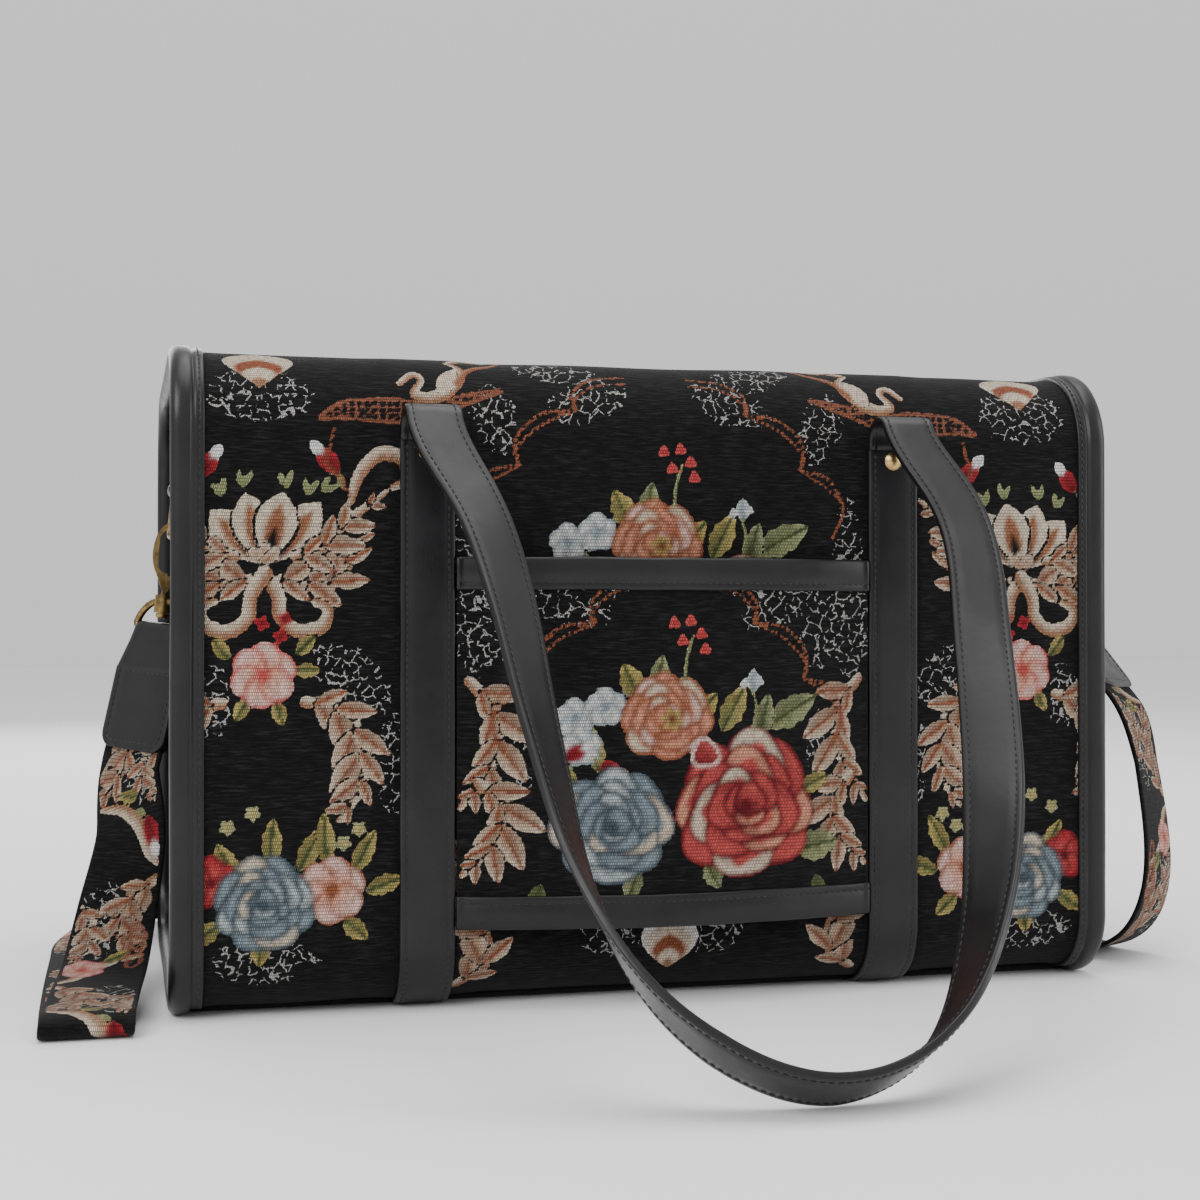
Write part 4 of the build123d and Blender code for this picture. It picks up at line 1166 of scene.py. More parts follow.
# end bindings
bindingShape = {"count": 420, "stitchX": -2.7, "section": (
    (-5.0, -1.5), (-5.0, 0.7), (-4.7, 1.2), (-4.0, 1.42), (-3.1, 1.4), (-2.7, 1.2), (-2.3, 1.4),
    (-0.9, 1.42), (-0.25, 1.0), (0.15, 1.15),
    (0.6, 1.9), (1.6, 2.42), (3.2, 2.58), (5.0, 2.6), (6.8, 2.45), (8.3, 1.8), (9.4, 0.5), (10.0, -1.2),
    (9.9, -3.2), (9.0, -4.9),
    (7.4, -5.9), (5.0, -6.0), (0.5, -6.0))}


def bodyRing(count, grow):
    # the whole rounded outline of the body, back to front over the top and home under the base
    lowR, topR = bodyShape["lowRound"] + grow, bodyShape["topRound"] + grow
    half, low, top = bodyShape["halfDepth"] + grow, bodyShape["low"] - grow, bodyShape["top"] + grow
    corners = ((-half + lowR, low + lowR, lowR, 1.5, 1.0), (-half + topR, top - topR, topR, 1.0, 0.5),
               (half - topR, top - topR, topR, 0.5, 0.0), (half - lowR, low + lowR, lowR, 0.0, -0.5))
    points, ways = [], []
    for y, z, radius, start, end in corners:
        turn = np.linspace(start, end, 60) * math.pi
        way = np.stack([np.cos(turn), np.sin(turn)], -1)
        points.append(np.array([y, z]) + way * radius)
        ways.append(way)
    points, ways = np.concatenate(points), np.concatenate(ways)
    closedPoints, closedWays = np.concatenate([points, points[:1]]), np.concatenate([ways, ways[:1]])
    walked = np.concatenate([[0], np.cumsum(np.linalg.norm(np.diff(closedPoints, axis=0), axis=1))])
    marks = np.linspace(0, walked[-1], count, endpoint=False)
    even = np.stack([np.interp(marks, walked, closedPoints[:, i]) for i in (0, 1)], -1)
    normals = unitRows(np.stack([np.interp(marks, walked, closedWays[:, i]) for i in (0, 1)], -1))
    return even, normals, marks


def inYZ(flat, x=0.0):
    return np.stack([np.full(len(flat), float(x)), flat[:, 0], flat[:, 1]], -1)


def endBinding(side, name):
    settings = bindingShape
    flat, way, marks = bodyRing(settings["count"], 0.0)
    centres, ups = inYZ(flat, side * 216.0), inYZ(way)
    section = np.array(settings["section"])
    sections = np.repeat(section[None], len(flat), 0)
    uneven = ripple(marks[:, None], section[:, 0][None] * 4, 12 + side, 6, 0.006, 0.02)
    sections[..., 1] += np.where(section[:, 1] > 1.0, uneven * 0.16, 0)
    sections[..., 0] += np.where(section[:, 0] > 8.0, uneven * 0.22, 0)
    base = np.clip((6.0 - flat[:, 1]) / 3.5, 0, 1)
    sections[..., 1] = np.where(
        (section[:, 0] < 0.3)[None] & (base > 0)[:, None],
        np.minimum(sections[..., 1], 1.4 - base[:, None] * 1.4), sections[..., 1]
    )
    sides = np.tile(xAxis * side, (len(flat), 1))
    binding = sweep(name + "EndBinding", centres, sides, ups, sections, leather, closed=True)
    line = centres + sides * settings["stitchX"] + ups * 1.36
    start = int(np.argmin(abs(flat[:, 0]) + abs(flat[:, 1])))
    line = np.roll(line, -start, 0)
    low = np.roll(flat[:, 1], -start) > 6
    addStitches("root", line[low])
    settle(binding, "root", "leather", name + "_end_binding")


# ends: leather panel round a netting window
endShape = {
    "face": 213.0, "inset": 4.0, "bulge": 1.6, "around": 240, "windowWide": 168.0, "windowHigh": 170.0,
    "windowLow": 42.0, "windowRound": 26.0, "trimWide": 9.0, "trimThick": 1.5, "netPitch": 3.4,
    "netThread": 0.30,
}


def windowRing(count, grow):
    settings = endShape
    halfW, halfH = settings["windowWide"] / 2 + grow, settings["windowHigh"] / 2 + grow
    radius, mid = settings["windowRound"] + grow, settings["windowLow"] + settings["windowHigh"] / 2
    points, ways = [], []
    for y, z, start in ((-1, -1, 1.5), (-1, 1, 1.0), (1, 1, 0.5), (1, -1, 0.0)):
        turn = np.linspace(start, start - 0.5, 40) * math.pi
        way = np.stack([np.cos(turn), np.sin(turn)], -1)
        points.append(np.array([y * (halfW - radius), mid + z * (halfH - radius)]) + way * radius)
        ways.append(way)
    points, ways = np.concatenate(points), np.concatenate(ways)
    closedPoints, closedWays = np.concatenate([points, points[:1]]), np.concatenate([ways, ways[:1]])
    walked = np.concatenate([[0], np.cumsum(np.linalg.norm(np.diff(closedPoints, axis=0), axis=1))])
    marks = np.linspace(0, walked[-1], count, endpoint=False)
    even = np.stack([np.interp(marks, walked, closedPoints[:, i]) for i in (0, 1)], -1)
    normals = unitRows(np.stack([np.interp(marks, walked, closedWays[:, i]) for i in (0, 1)], -1))
    return even, normals, marks


def endPanel(side, name):
    settings = endShape
    outer = bodyRing(settings["around"], -settings["inset"])[0]
    outerTurn = np.arctan2(outer[:, 1] - 127, outer[:, 0])
    inner = windowRing(1200, 0.5)[0]
    innerTurn = np.arctan2(inner[:, 1] - 127, inner[:, 0])
    matched = inner[np.argmin(abs(np.angle(np.exp(1j * (innerTurn[None] - outerTurn[:, None])))), axis=1)]
    rows = []
    for share in np.linspace(0, 1, 14):
        flat = outer * (1 - share) + matched * share
        depth = settings["bulge"] * math.sin(math.pi * share) * (
            0.7 + 0.3 * ripple(flat[:, 0], flat[:, 1], 44)
        )
        rows.append(inYZ(flat) + np.stack([side * (settings["face"] - depth), 0 * depth, 0 * depth], -1))
    for x, ring in ((settings["face"] - 2.6, matched), (settings["face"] - 2.6, outer)):
        rows.append(inYZ(ring, side * x))
    points = np.array(rows)
    faces = gridFaces(len(rows), settings["around"], closedRows=True, closedColumns=True)
    if side < 0:
        faces = faces[:, ::-1]
    panel = makeMesh(name + "EndPanel", points, [faces], leather)
    settle(panel, "root", "leather", name + "_end_panel")

    flat, way, _ = windowRing(260, settings["trimWide"] / 2)
    half, thick = settings["trimWide"] / 2, settings["trimThick"]
    section = [
        (-half, -2.4), (half, -1.6), (half, thick - 0.6), (half - 0.5, thick - 0.05), (half - 2.2, thick),
        (half - 2.6, thick - 0.15), (half - 3.0, thick), (-half + 1.0, thick + 0.05),
        (-half + 0.3, thick - 0.3), (-half, thick - 1.0)
    ]
    ups = np.tile(xAxis * side, (len(flat), 1))
    trim = sweep(
        name + "WindowTrim", inYZ(flat, side * settings["face"]), inYZ(way), ups, np.array(section), leather,
        closed=True
    )
    settle(trim, "root", "leather", name + "_window_trim")
    line = inYZ(flat + way * (half - 2.6), side * (settings["face"] + thick - 0.05))
    addStitches("root", np.concatenate([line, line[:1]]))


def nettingTree(settings):
    # crossed threads: each line of the carrier becomes a thin tube
    tree = bpy.data.node_groups.new("netting", "GeometryNodeTree")
    groupInput(tree, "Geometry", "NodeSocketGeometry", None)
    groupInput(tree, "thread", "NodeSocketFloat", settings["netThread"] * unit)
    tree.interface.new_socket(name="Geometry", in_out="OUTPUT", socket_type="NodeSocketGeometry")
    given = addNode(tree, "NodeGroupInput").outputs
    curve = addNode(tree, "GeometryNodeMeshToCurve", None, {"Mesh": given["Geometry"]}).outputs[0]
    ring = addNode(
        tree, "GeometryNodeCurvePrimitiveCircle", {"mode": "RADIUS"},
        {"Resolution": 4, "Radius": given["thread"]}
    ).outputs[0]
    tube = addNode(tree, "GeometryNodeCurveToMesh", None, {"Curve": curve, "Profile Curve": ring}).outputs[0]
    real = addNode(tree, "GeometryNodeRealizeInstances", None, {"Geometry": tube}).outputs[0]
    smooth = addNode(tree, "GeometryNodeSetShadeSmooth", None, {"Geometry": real}).outputs[0]
    finish = addNode(
        tree, "GeometryNodeSetMaterial", None, {"Geometry": smooth, "Material": netThread}
    ).outputs[0]
    tree.links.new(finish, addNode(tree, "NodeGroupOutput").inputs[0])
    return tree


netTree = nettingTree(endShape)


def netting(side, name):
    settings = endShape
    pitch, reach = settings["netPitch"] * 1, 130
    runs = []
    for slope in (-1, 1):
        for start in np.arange(-2 * reach, 2 * reach, pitch):
            t = np.linspace(-reach, reach, 150)
            y, z = start + slope * t * 0.62, 127 + t
            zig = 0.45 * np.sin(t * math.tau / pitch)
            halfW = settings["windowWide"] / 2 + settings["trimWide"] - 4.5
            halfH = settings["windowHigh"] / 2 + settings["trimWide"] - 4.5
            round_ = settings["windowRound"] + 3
            dy, dz = np.maximum(abs(y) - (halfW - round_), 0), np.maximum(abs(z - 127) - (halfH - round_), 0)
            keep = np.hypot(dy, dz) <= round_
            if keep.sum() < 3:
                continue
            x = side * (211.2 - 1.2 * np.cos(y / halfW * 1.4) * np.cos((z - 127) / halfH * 1.4))
            line = np.stack([x + side * 0.12 * slope, y + zig, z], -1)[keep]
            runs.append(line[::3])
    carrier = lineCarrier(name + "NetLines", runs)
    made = bakeNodes(carrier, netTree, name + "Netting", netThread)
    settle(made, "root", "mesh", name + "_mesh_window")


chapeShape = {"width": 21.0, "thick": 1.5, "barX": 219.5, "barZ": 242.6}


def ringChape(side, name):
    settings = chapeShape
    reach = 3.35
    path = [(215.9, 285.5), (215.9, 274), (216.3, 262), (218.6, 251)]
    path += [
        (
            settings["barX"] + reach * math.cos(a), settings["barZ"] + reach * math.sin(a)
        ) for a in np.radians([40, 0, -45, -90, -135, -175])
    ]
    path += [(214.6, 252), (214.1, 263), (214.1, 285.2)]
    points = np.array([(side * x, 0, z) for x, z in path])
    curve, ways, _, _ = smoothCurve(points, (0, 0, -1), (0, 0, 1), 120)
    sides = np.tile((0.0, 1.0, 0.0), (len(curve), 1))
    section = leatherSection(settings["width"], settings["thick"], stitchIn=2.6, crown=0.1, dip=0.12)
    chape = sweep(name + "RingChape", curve, sides, np.cross(ways, sides), np.array(section), leather)
    settle(chape, "root", "leather", name + "_ring_chape")
    outward = np.cross(ways, sides)
    flip = np.sign(outward[3, 0] * side)
    for edge in (-1, 1):
        line = (
            curve + sides * edge * (settings["width"] / 2 - 2.6)
            + outward * flip * (settings["thick"] / 2)
        )
        addStitches("root", line[3:40])


for side, name in ((-1, "left"), (1, "right")):
    endBinding(side, name)
    endPanel(side, name)
    netting(side, name)
    ringChape(side, name)
print("ends are bound")


# trolley sleeve
sleeveShape = {
    "half": 99.5, "low": 38.5, "high": 205.0, "thick": 2.2, "flat": 96.5, "rise": 13.8, "binding": 14.0,
    "step": 1.15
}


def sleeveBow(x):
    settings = sleeveShape
    radius = (settings["flat"] ** 2 + settings["rise"] ** 2) / (2 * settings["rise"])
    inside = np.clip(abs(x), 0, settings["flat"])
    return np.sqrt(radius**2 - inside**2) - (radius - settings["rise"])


def sleeveCloth():
    settings = sleeveShape
    step = settings["step"] * fine
    across = np.linspace(-settings["half"] + 0.4, settings["half"] - 0.4, int(2 * settings["half"] / step))
    up = np.linspace(
        settings["low"] + 1, settings["high"] - 1, int((settings["high"] - settings["low"]) / step)
    )
    u, v = np.meshgrid(across, up)
    wave = 0.5 * ripple(u, v, 51, 6, 0.006, 0.016) * np.clip((settings["flat"] - abs(u)) / 30, 0, 1)
    bow = sleeveBow(u)
    outer = np.stack([u, -130 - bow - settings["thick"] - wave, v], -1)
    inner = np.stack([u, -130.1 - bow - wave, v], -1)
    points = np.concatenate([outer, inner[:, ::-1]], 1)
    both = np.concatenate([u, u[:, ::-1]], 1), np.concatenate([v, v[:, ::-1]], 1)
    canvas = newCanvas(*both)
    for side in (canvas, mirrored(canvas, 0)):
        acanthus(side, [(-94, 150), (-84, 138), (-82, 122), (-88, 106), (-98, 92)], 13, 5, 1)
        acanthus(side, [(-90, 104), (-80, 92), (-84, 76), (-97, 62)], 13, 5, 1)
        laceCloud(side, (-90, 174), 12, 24)
        laceCloud(side, (-52, 184), 24, 9, -0.3)
        scallops(side, 198, 86)
        laceCloud(side, (-70, 118), 5, 20)
    bouquet(moved(canvas, 34, 92))
    for x, way in ((-62, 250), (-40, 270), (70, 285)):
        petal(canvas, (x, 58), way, 16, 8, "fern", "olive")
    finished(canvas, 70)
    rows, columns = points.shape[:2]
    faces = gridFaces(rows, columns, closedColumns=True)
    half = columns // 2
    caps = []
    for row in (0, rows - 1):
        base = row * columns
        i = np.arange(half - 1)
        quads = np.stack([base + i, base + i + 1, base + columns - 2 - i, base + columns - 1 - i], -1)
        caps.append(quads[:, ::-1] if row == 0 else quads)
    cloth = np.stack([both[0].ravel(), both[1].ravel()], -1)
    fields = {key: canvas[key] for key in ("cover", "lace")}
    sleeve = makeMesh("sleeveTapestry", points, [faces] + caps, tapestry, cloth, canvas["dye"], fields)
    settle(sleeve, "root", "tapestry", "trolley_sleeve")


def sleeveBinding(name, low, flip):
    settings = sleeveShape
    x = np.linspace(-settings["half"], settings["half"], 150)
    bow = sleeveBow(x)
    centres = np.stack([x, -130 - bow - 1.15, np.full(len(x), low + 7.0) + 0.25 * ripple(x, 0 * x, 61)], -1)
    ways = unitRows(np.gradient(centres, axis=0))
    sides = np.tile((0, 0, 1.0), (len(x), 1)) * flip
    ups = np.cross(ways, sides)
    ups = ups * np.sign(-ups[:, 1:2])
    section = np.array([
        (-7.0, -0.6), (-6.8, -1.6), (-6.0, -2.2), (6.4, -2.3), (7.6, -1.9), (8.1, -0.8), (8.1, 0.9),
        (7.6, 1.9), (6.6, 2.35), (2.0, 2.45), (-3.2, 2.35), (-3.7, 2.1), (-4.2, 2.35), (-6.2, 2.3),
        (-6.9, 1.9), (-7.0, 1.2),
    ])
    sections = np.repeat(section[None], len(x), 0)
    thin = np.clip((settings["half"] - abs(x)) / 14, 0.0, 1)[:, None]
    sections[..., 1] = np.where(section[:, 1] < 0, sections[..., 1] * thin, sections[..., 1])
    binding = sweep("sleeveBinding" + name.capitalize(), centres, sides, ups, sections, leather)
    settle(binding, "root", "leather", "sleeve_binding_" + name)
    addStitches("root", (centres + sides * -3.7 + ups * 2.25)[3:-3])


sleeveCloth()
sleeveBinding("top", sleeveShape["high"] - sleeveShape["binding"], 1)
sleeveBinding("bottom", sleeveShape["low"], -1)
print("trolley sleeve is sewn")


# zip along the top: tapes, teeth and leather tabs
zipShape = {
    "tapeHalf": 196.0, "inner": 3.4, "outer": 22.0, "tapeZ": 295.4, "tapeThick": 1.2, "teethHalf": 186.6,
    "toothPitch": 2.5, "toothY": 2.05,
    "tooth": (1.35, 2.6, 2.5), "head": (1.9, 1.2, 1.9), "tabFrom": 187.2, "tabTo": 211.0, "tabWidth": 36.0,
    "tabThick": 1.6,
}


def toothTree(settings):
    tree = bpy.data.node_groups.new("zipTeeth", "GeometryNodeTree")
    groupInput(tree, "Geometry", "NodeSocketGeometry", None)
    groupInput(tree, "pitch", "NodeSocketFloat", settings["toothPitch"] * unit)
    groupInput(tree, "headShift", "NodeSocketFloat", 0.001)
    tree.interface.new_socket(name="Geometry", in_out="OUTPUT", socket_type="NodeSocketGeometry")
    given = addNode(tree, "NodeGroupInput").outputs
    curve = addNode(tree, "GeometryNodeMeshToCurve", None, {"Mesh": given["Geometry"]}).outputs[0]
    along = addNode(
        tree, "GeometryNodeCurveToPoints", {"mode": "LENGTH"}, {"Curve": curve, "Length": given["pitch"]}
    )
    size = Vector(settings["tooth"]) * unit
    headSize = Vector(settings["head"]) * unit
    body = addNode(tree, "GeometryNodeMeshCube", None, {"Size": size}).outputs[0]
    head = addNode(tree, "GeometryNodeMeshCube", None, {"Size": headSize}).outputs[0]
    shift = addNode(tree, "ShaderNodeCombineXYZ", None, {1: given["headShift"]}).outputs[0]
    head = addNode(tree, "GeometryNodeTransform", None, {"Geometry": head, "Translation": shift}).outputs[0]
    tooth = addNode(tree, "GeometryNodeJoinGeometry")
    tree.links.new(body, tooth.inputs[0])
    tree.links.new(head, tooth.inputs[0])
    placed = addNode(tree, "GeometryNodeInstanceOnPoints", None, {
        "Points": along.outputs["Points"], "Instance": tooth.outputs[0]}).outputs[0]
    real = addNode(tree, "GeometryNodeRealizeInstances", None, {"Geometry": placed}).outputs[0]
    finish = addNode(tree, "GeometryNodeSetMaterial", None, {"Geometry": real, "Material": brass}).outputs[0]
    tree.links.new(finish, addNode(tree, "NodeGroupOutput").inputs[0])
    return tree


def zipFastener():
    settings = zipShape
    teeth = toothTree(settings)
    middle = (settings["inner"] + settings["outer"]) / 2
    wide = settings["outer"] - settings["inner"]
    along = np.linspace(-settings["tapeHalf"], settings["tapeHalf"], 160)
    for face, name in ((-1, "back"), (1, "front")):
        centres = np.stack(
            [along, np.full(160, face * middle), settings["tapeZ"] + 0.12 * ripple(along, 0 * along, 71)], -1
        )
        half, thick = wide / 2, settings["tapeThick"] / 2
        section = [
            (-half, -thick), (half, -thick), (half, thick), (half * 0.3, thick - 0.15), (-half * 0.5, thick),
            (-half, thick)
        ]
        sides, ups = np.tile(yAxis, (160, 1)), np.tile(zAxis, (160, 1))
        tape = sweep("zipTape" + name.capitalize(), centres, sides, ups, np.array(section), tapeCloth)
        settle(tape, "root", "zip_tape", "zip_tape_" + name)
        start = -settings["teethHalf"] + (0 if face < 0 else settings["toothPitch"] / 2)
        line = np.array([
            (start, face * settings["toothY"], settings["tapeZ"]),
            (settings["teethHalf"] - 1.3, face * settings["toothY"], settings["tapeZ"])
        ])
        made = bakeNodes(
            lineCarrier(name + "TeethLine", [line]), teeth, "zipTeeth" + name.capitalize(), brass,
            {"headShift": -face * 0.9 * unit}
        )
        settle(made, "root", "brass", "zip_teeth_" + name)
    for side, name in ((-1, "left"), (1, "right")):
        along = np.linspace(settings["tabFrom"], settings["tabTo"], 16) * side
        centres = np.stack([along, 0 * along, np.full(16, 300.8)], -1)
        section = leatherSection(
            settings["tabWidth"], settings["tabThick"], stitchIn=2.8, crown=0.0, dip=0.12
        )
        sides, ups = np.tile(yAxis, (16, 1)), np.tile(zAxis, (16, 1))
        tab = sweep("zipTab" + name.capitalize(), centres, sides, ups, np.array(section), leather)
        settle(tab, "root", "leather", "zip_tab_" + name)
        inner, outer = (settings["tabFrom"] + 2.8) * side, (settings["tabTo"] - 1.5) * side
        half = settings["tabWidth"] / 2 - 2.8
        flat = [(outer, -half), (inner, -half), (inner, half), (outer, half)]
        corners = np.array([(x, y, 301.62) for x, y in flat])
        edges = [np.linspace(a, b, 12) for a, b in zip(corners[:-1], corners[1:])]
        addStitches("root", np.concatenate(edges))


zipFastener()
print("zip is fitted")


# lining and base, seen only through the opened bag and from below
innerShape = {
    "half": 208.6, "grow": -5.3, "slot": 16.5, "baseHalf": 216.0, "baseWide": 100.0, "baseThick": 2.5,
    "girth": 1080.0, "ends": 270.0,
}


def liningBag():
    settings = innerShape
    ring = bodyRing(420, settings["grow"])[0]
    keep = ~((ring[:, 1] > 250) & (abs(ring[:, 0]) < settings["slot"]))
    start = int(np.argmax(~keep))
    ring, keep = np.roll(ring, -start, 0), np.roll(keep, -start)
    profile = ring[keep]
    along = np.linspace(-settings["half"], settings["half"], 90)
    x, row = np.meshgrid(along, np.arange(len(profile)))
    flat = profile[row]
    sag = (
        1.2 * (0.5 + 0.5 * ripple(x, row * 1.7, 81, 6, 0.004, 0.012))
        * np.clip((settings["half"] - abs(x)) / 20, 0, 1)
    )
    middle = np.array([0, 150.0])
    inward = unitRows(middle - flat)
    flat = flat + inward * sag[..., None]
    points = [np.stack([x, flat[..., 0], flat[..., 1]], -1).reshape(-1, 3)]
    walls = gridFaces(len(profile), len(along))
    faceSets, start = [walls], len(points[0])
    # the end walls sit behind the netting windows; their near-black lining colour is painted shade
    whole = bodyRing(160, settings["grow"])[0]
    for side in (-1, 1):
        rows = [
            inYZ(
                middle + (whole - middle) * share, side * settings["half"]
            ) for share in np.linspace(1, 0.02, 16)
        ]
        points.append(np.concatenate(rows))
        points.append(inYZ(middle[None], side * settings["half"]))
        end = gridFaces(16, len(whole), closedColumns=True, start=start)
        faceSets.append(end if side > 0 else end[:, ::-1])
        last = start + 15 * len(whole) + np.arange(len(whole))
        fan = np.stack([last, np.roll(last, -1), np.full(len(whole), start + 16 * len(whole))], -1)
        faceSets.append(fan if side > 0 else fan[:, ::-1])
        start += 16 * len(whole) + 1
    points = np.concatenate(points)
    bag = makeMesh("liningBag", points, faceSets, liningShadeCloth)
    settle(bag, "root", "lining", "lining")


def basePanel():
    settings = innerShape
    along = np.linspace(-settings["baseHalf"], settings["baseHalf"], 60)
    half, thick = settings["baseWide"], settings["baseThick"] / 2
    section = [
        (-half, -thick + 0.5), (-half + 0.7, -thick), (half - 0.7, -thick), (half, -thick + 0.5),
        (half, thick - 0.5), (half - 0.7, thick), (-half + 0.7, thick), (-half, thick - 0.5),
    ]
    centres = np.stack([along, 0 * along, 0 * along + thick], -1)
    sides, ups = np.tile(yAxis, (60, 1)), np.tile(zAxis, (60, 1))
    base = sweep("basePanel", centres, sides, ups, np.array(section), baseCloth)
    settle(base, "root", "base_cloth", "base_panel")


liningBag()
basePanel()
print("lining and base are in")


# strap tabs and the shoulder strap
hookShape = {
    "ringX": 219.5, "ringZ": 242.6, "drop": 23.0, "halfWidth": 15.0, "wireInEye": 39.2, "turn": 48.0,
    "bar": -8.0,
    "left": (6.2, 0.0, 8.0), "right": (25.0, 33.0, 0.0),
}
tabShape = {
    "topHalf": 14.4, "half": 22.5, "thick": 6.6, "shoulder": 20.0, "length": 62.0, "round": 8.0,
    "pocket": 26.0, "stitchIn": 3.6,
}


def turnedAbout(axis, degrees):
    return np.array(Matrix.Rotation(math.radians(degrees), 3, Vector(axis)))


def hookFrame(side, name):
    settings = hookShape
    swing, slide, lean = settings[name]
    swing, slide = math.radians(swing), math.radians(slide)
    bar = np.array([side * settings["ringX"], 0, settings["ringZ"]])
    fall = np.array([side * math.sin(swing), 0, -math.cos(swing)])
    pull = fall * math.cos(slide) + np.array([0, -1.0, 0]) * math.sin(slide)
    along = np.array([0, -1.0, 0]) * math.cos(slide) - fall * math.sin(slide)
    touch = bar + fall * (settings["drop"] - settings["halfWidth"]) + pull * settings["halfWidth"]
    up = -pull
    across = np.cross(along * side, up)
    hanging = np.stack([across, np.cross(up, across), up], 1)
    turned = hanging @ turnedAbout((0, 0, 1), side * settings["turn"])
    origin = touch + pull * settings["wireInEye"] + turned @ np.array([0, 0, settings["bar"]])
    return origin, turned @ turnedAbout((1, 0, 0), side * lean)


def strapTab(side, name):
    settings = tabShape
    origin, axes = hookFrame(side, name)
    half, length, corner = settings["half"], settings["length"], settings["round"]
    drops = np.concatenate([
        [3.25, 3.0, 2.4, 1.4], np.linspace(0, settings["shoulder"] + 3, 20),
        np.linspace(settings["shoulder"] + 4, length - corner, 18),
        length - corner + corner * np.sin(np.linspace(0.1, 0.995, 12) * math.pi / 2)
    ])
    drops[:4] = -drops[:4]
    widths = settings["topHalf"] + (half - settings["topHalf"]) * np.clip(
        (drops + 3.3) / (settings["shoulder"] + 3.3), 0, 1
    )
    rounded = np.clip((drops - length + corner) / corner, 0, 1)
    widths = widths - corner * (1 - np.sqrt(np.clip(1 - rounded**2, 0, 1)))
    full = settings["thick"] / 2
    nose = np.sqrt(np.clip(1 - np.clip(-drops / 3.3, 0, 0.999) ** 2, 0.02, 1))
    lower = np.clip((drops - settings["shoulder"]) / 1.6, 0, 1)
    lower = lower * lower * (3 - 2 * lower)
    thicks = (full - 0.1 - 0.75 * (1 - lower) * np.clip((drops + 1) / 8, 0, 1)) * nose
    groove = np.exp(-(((drops - settings["shoulder"] - 1.0) / 1.2) ** 2)) * 0.35
    sections = []
    for wide, thick, puff, dip in zip(widths, thicks, lower, groove):
        inset = settings["stitchIn"]
        top = [
            (wide - 0.9, thick - 0.12), (wide - inset + 1.0, thick), (wide - inset, thick - 0.28 * puff),
            (wide - inset - 1.1, thick - 0.05), (wide * 0.6, thick - 0.1 * (1 - puff) - dip),
            (0, thick - dip)
        ]
        edge = [
            (wide - 0.25, -thick + 0.5), (wide, -thick * 0.4), (wide - 0.3, 0.0), (wide, thick * 0.4),
            (wide - 0.25, thick - 0.5)
        ]
        bottom = [(x, -y) for x, y in top]
        outline = (
            [(-x, y) for x, y in bottom] + bottom[-2::-1] + edge + top
            + [(-x, y) for x, y in top[-2::-1]] + [(-x, y) for x, y in edge[::-1]]
        )
        sections.append(outline)
    centres = origin - drops[:, None] * axes[:, 2]
    sides = np.tile(axes[:, 0], (len(drops), 1))
    ups = np.tile(-axes[:, 1], (len(drops), 1))
    tab = sweep(name + "StrapTab", centres, sides, ups, np.array(sections), leather)
    settle(tab, "root", "leather", name + "_strap_tab")
    inset = half - settings["stitchIn"]
    top, low = settings["shoulder"] + 3.2, length - settings["stitchIn"]
    box = [
        (-inset, top), (inset, top), (inset, low - 4.4), (inset - 1.3, low - 1.3), (inset - 4.4, low),
        (-inset + 4.4, low), (-inset + 1.3, low - 1.3), (-inset, low - 4.4), (-inset, top)
    ]
    for layer in (-1, 1):
        line = np.concatenate(
            [np.linspace(a, b, 14)[:-1] for a, b in zip(np.array(box)[:-1], np.array(box)[1:])]
            + [np.array(box[-1:])]
        )
        local = np.stack([line[:, 0], np.full(len(line), layer * (full - 0.28)), -line[:, 1]], -1)
        addStitches("root", origin + local @ axes.T)
    return origin, axes


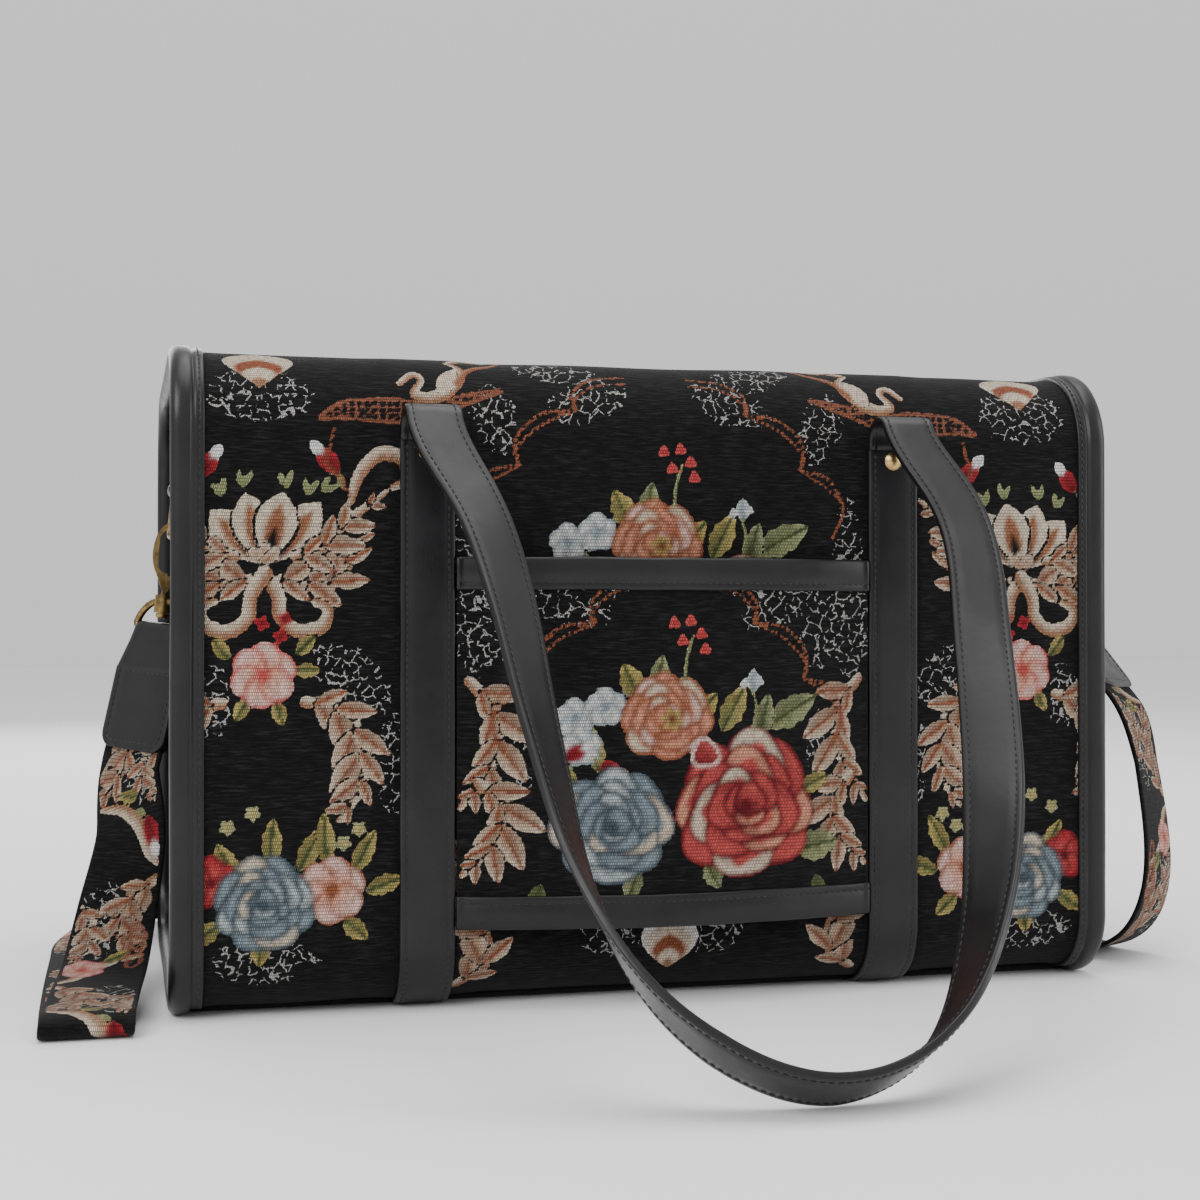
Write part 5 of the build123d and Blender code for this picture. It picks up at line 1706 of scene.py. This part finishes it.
strapRoute = {
    "wide": 40.0, "thick": 2.4, "step": 1.45, "gap": 0.1, "rows": 24,
    "points": (
        (-241.5, -18.0, 76.0, 0.78, -0.62, 0.0), (-247.0, -30.0, 42.0, 0.92, -0.38, 0.0),
        (-252.5, -54.0, 18.5, 0.98, -0.20, 0.0),
        (-257.0, -94.0, 11.0, 1.0, -0.08, 0.0), (-259.5, -132.0, 9.6, 1.0, -0.04, 0.0),
        (-260.0, -145.5, 8.6, 1.0, 0.0, 0.0),
        (-260.3, -150.2, 5.0, 1.0, 0.0, 0.0), (-260.6, -145.5, 1.7, 1.0, 0.0, 0.0),
        (-261.0, -130.0, 1.4, 1.0, 0.0, 0.0),
        (-262.0, -70.0, 1.4, 1.0, 0.0, 0.0), (-262.0, 10.0, 1.4, 1.0, 0.0, 0.0),
        (-262.0, 70.0, 4.7, 0.98, 0.0, 0.16),
        (-259.0, 118.0, 16.6, 0.64, 0.0, 0.77), (-242.0, 152.0, 21.0, 0.12, -0.12, 0.99),
        (-208.0, 172.0, 21.0, 0.0, -0.12, 0.99),
        (-160.0, 180.0, 17.5, 0.0, -0.60, 0.80), (-104.0, 184.0, 5.8, 0.0, -0.97, 0.22),
        (-40.0, 190.0, 1.4, -0.05, -1.0, 0.0),
        (40.0, 188.0, 1.4, 0.05, -1.0, 0.0), (104.0, 182.0, 5.8, 0.0, -0.97, 0.22),
        (158.0, 178.0, 17.5, 0.0, -0.60, 0.80),
        (206.0, 172.0, 21.0, 0.0, -0.12, 0.99), (238.0, 152.0, 21.0, -0.12, -0.12, 0.99),
        (254.0, 118.0, 16.6, -0.64, 0.0, 0.77),
        (256.0, 70.0, 4.7, -0.98, 0.0, 0.16), (253.0, 20.0, 1.4, -1.0, 0.0, 0.0),
        (252.0, -25.0, 1.4, -0.98, -0.20, 0.0),
        (260.0, -60.0, 3.0, -0.86, -0.50, 0.0), (271.0, -80.0, 15.0, -0.80, -0.60, 0.0),
        (277.5, -89.0, 40.0, -0.76, -0.65, 0.0),
        (278.5, -87.0, 72.0, -0.72, -0.69, 0.0), (278.0, -79.0, 102.0, -0.70, -0.71, 0.0),
    ),
}


def strapPattern(canvas, length):
    # one repeat every 170 mm, the same on both faces
    repeat = 170.0
    for number in range(int(length / repeat) + 1):
        here = moved(canvas, 0, number * repeat)
        laceCloud(here, (8, 30), 12, 28)
        laceCloud(here, (-8, 118), 12, 28)
        for flip, base in ((1, 0.0), (-1, 85.0)):
            half = moved(here, 0, base)
            half = half if flip == 1 else mirrored(half, 0)
            acanthus(half, [(-19, 4), (-8, 14), (-2, 28), (-9, 42), (-20, 50)], 13, 5, 1)
            stroke(
                half, [(-16, 52), (-4, 56), (6, 66), (12, 78), (20, 84)], (3, 6, 7, 5, 3), "tan", "cream",
                gap=0.8
            )
            acanthus(half, [(20, 20), (11, 30), (9, 44), (16, 56)], 10, 4, -1)
        bud(here, (10, 62), 70, 16)
        leaf(here, (6, 52), 200, 12, 7, "gold", "olive")
        openFlower(here, (-9, 150), 9, 6, "peach", "pink", "blush")
        leaf(here, (0, 142), 320, 13, 7, "gold", "olive")
        lattice(here, [(12, 118), (15, 132), (12, 146)], (6, 12, 6), 4.5)


def shoulderStrap(ends):
    settings = strapRoute
    runs, ways = [], []
    for origin, axes in ends:
        runs.append(
            [
                origin - axes[:, 2] * drop for drop in (
                    tabShape["length"] - tabShape["pocket"] + 0.2, tabShape["length"],
                    tabShape["length"] + 9.0
                )
            ]
        )
        ways.append(axes[:, 0])
    route = np.array(settings["points"])
    points = np.concatenate([runs[0], route[:, :3], runs[1][::-1]])
    across = np.concatenate([np.tile(ways[0], (3, 1)), route[:, 3:], np.tile(ways[1], (3, 1))])
    length = 1448.0
    count = int(length / (settings["step"] * fine))
    curve, heading, places, marks = smoothCurve(points, -ends[0][1][:, 2], ends[1][1][:, 2], count)
    sides = np.stack([np.interp(places, marks, across[:, i]) for i in range(3)], -1)
    sides = unitRows(sides - heading * np.sum(sides * heading, 1, keepdims=True))
    ups = np.cross(heading, sides)
    half, thick = settings["wide"] / 2, settings["thick"] / 2
    rest = half * abs(sides[:, 2]) + thick * abs(ups[:, 2]) + settings["gap"]
    curve[:, 2] = np.maximum(curve[:, 2], rest)
    u = np.linspace(-half + 0.35, half - 0.35, settings["rows"] + 8)
    crown = thick - 0.05 - 0.35 * np.clip((abs(u) - half + 2.2) / 2.0, 0, 1) ** 2
    section = np.concatenate(
        [np.stack([u, -crown], -1), [(half, 0)], np.stack([u[::-1], crown], -1), [(-half, 0)]]
    )
    strap = sweep("shoulderStrap", curve, sides, ups, section, tapestry)
    walked = np.concatenate([[0], np.cumsum(np.linalg.norm(np.diff(curve, axis=0), axis=1))])
    rows = len(curve)
    v = np.broadcast_to(walked[:, None], (rows, len(section))).copy()
    canvas = newCanvas(np.broadcast_to(section[:, 0], (rows, len(section))).copy(), v)
    strapPattern(canvas, length)
    edge = np.clip((half - 1.2 - abs(canvas["u"])) / 1.2, 0, 1)
    canvas["cover"] *= edge
    canvas["lace"] *= edge
    finished(canvas, 90)
    mesh = strap.data
    spare = len(mesh.vertices) - rows * len(section)
    dye = mesh.attributes.new("dye", "FLOAT_COLOR", "POINT")
    rgba = np.ones((len(mesh.vertices), 4), np.float32)
    rgba[:, :3] = np.concatenate([canvas["dye"], np.full((spare, 3), 0.02)])
    dye.data.foreach_set("color", rgba.ravel())
    for key in ("cover", "lace"):
        field = mesh.attributes.new(key, "FLOAT", "POINT")
        field.data.foreach_set("value", np.concatenate([canvas[key], np.zeros(spare)]).astype(np.float32))
    settle(strap, "root", "tapestry", "shoulder_strap")


ends = [strapTab(side, name) for side, name in ((-1, "left"), (1, "right"))]
shoulderStrap(ends)
print("shoulder strap is laid")


# every stitch row, baked to one mesh per moving body
stitches = stitchTree(stitchSize)
for body, runs in stitchRuns.items():
    made = bakeNodes(lineCarrier(body + "StitchLines", runs), stitches, body + "Stitches", thread)
    if body == "root":
        settle(made, "root", "leather")
    else:
        blendHandle(made)
print("stitches are sewn")
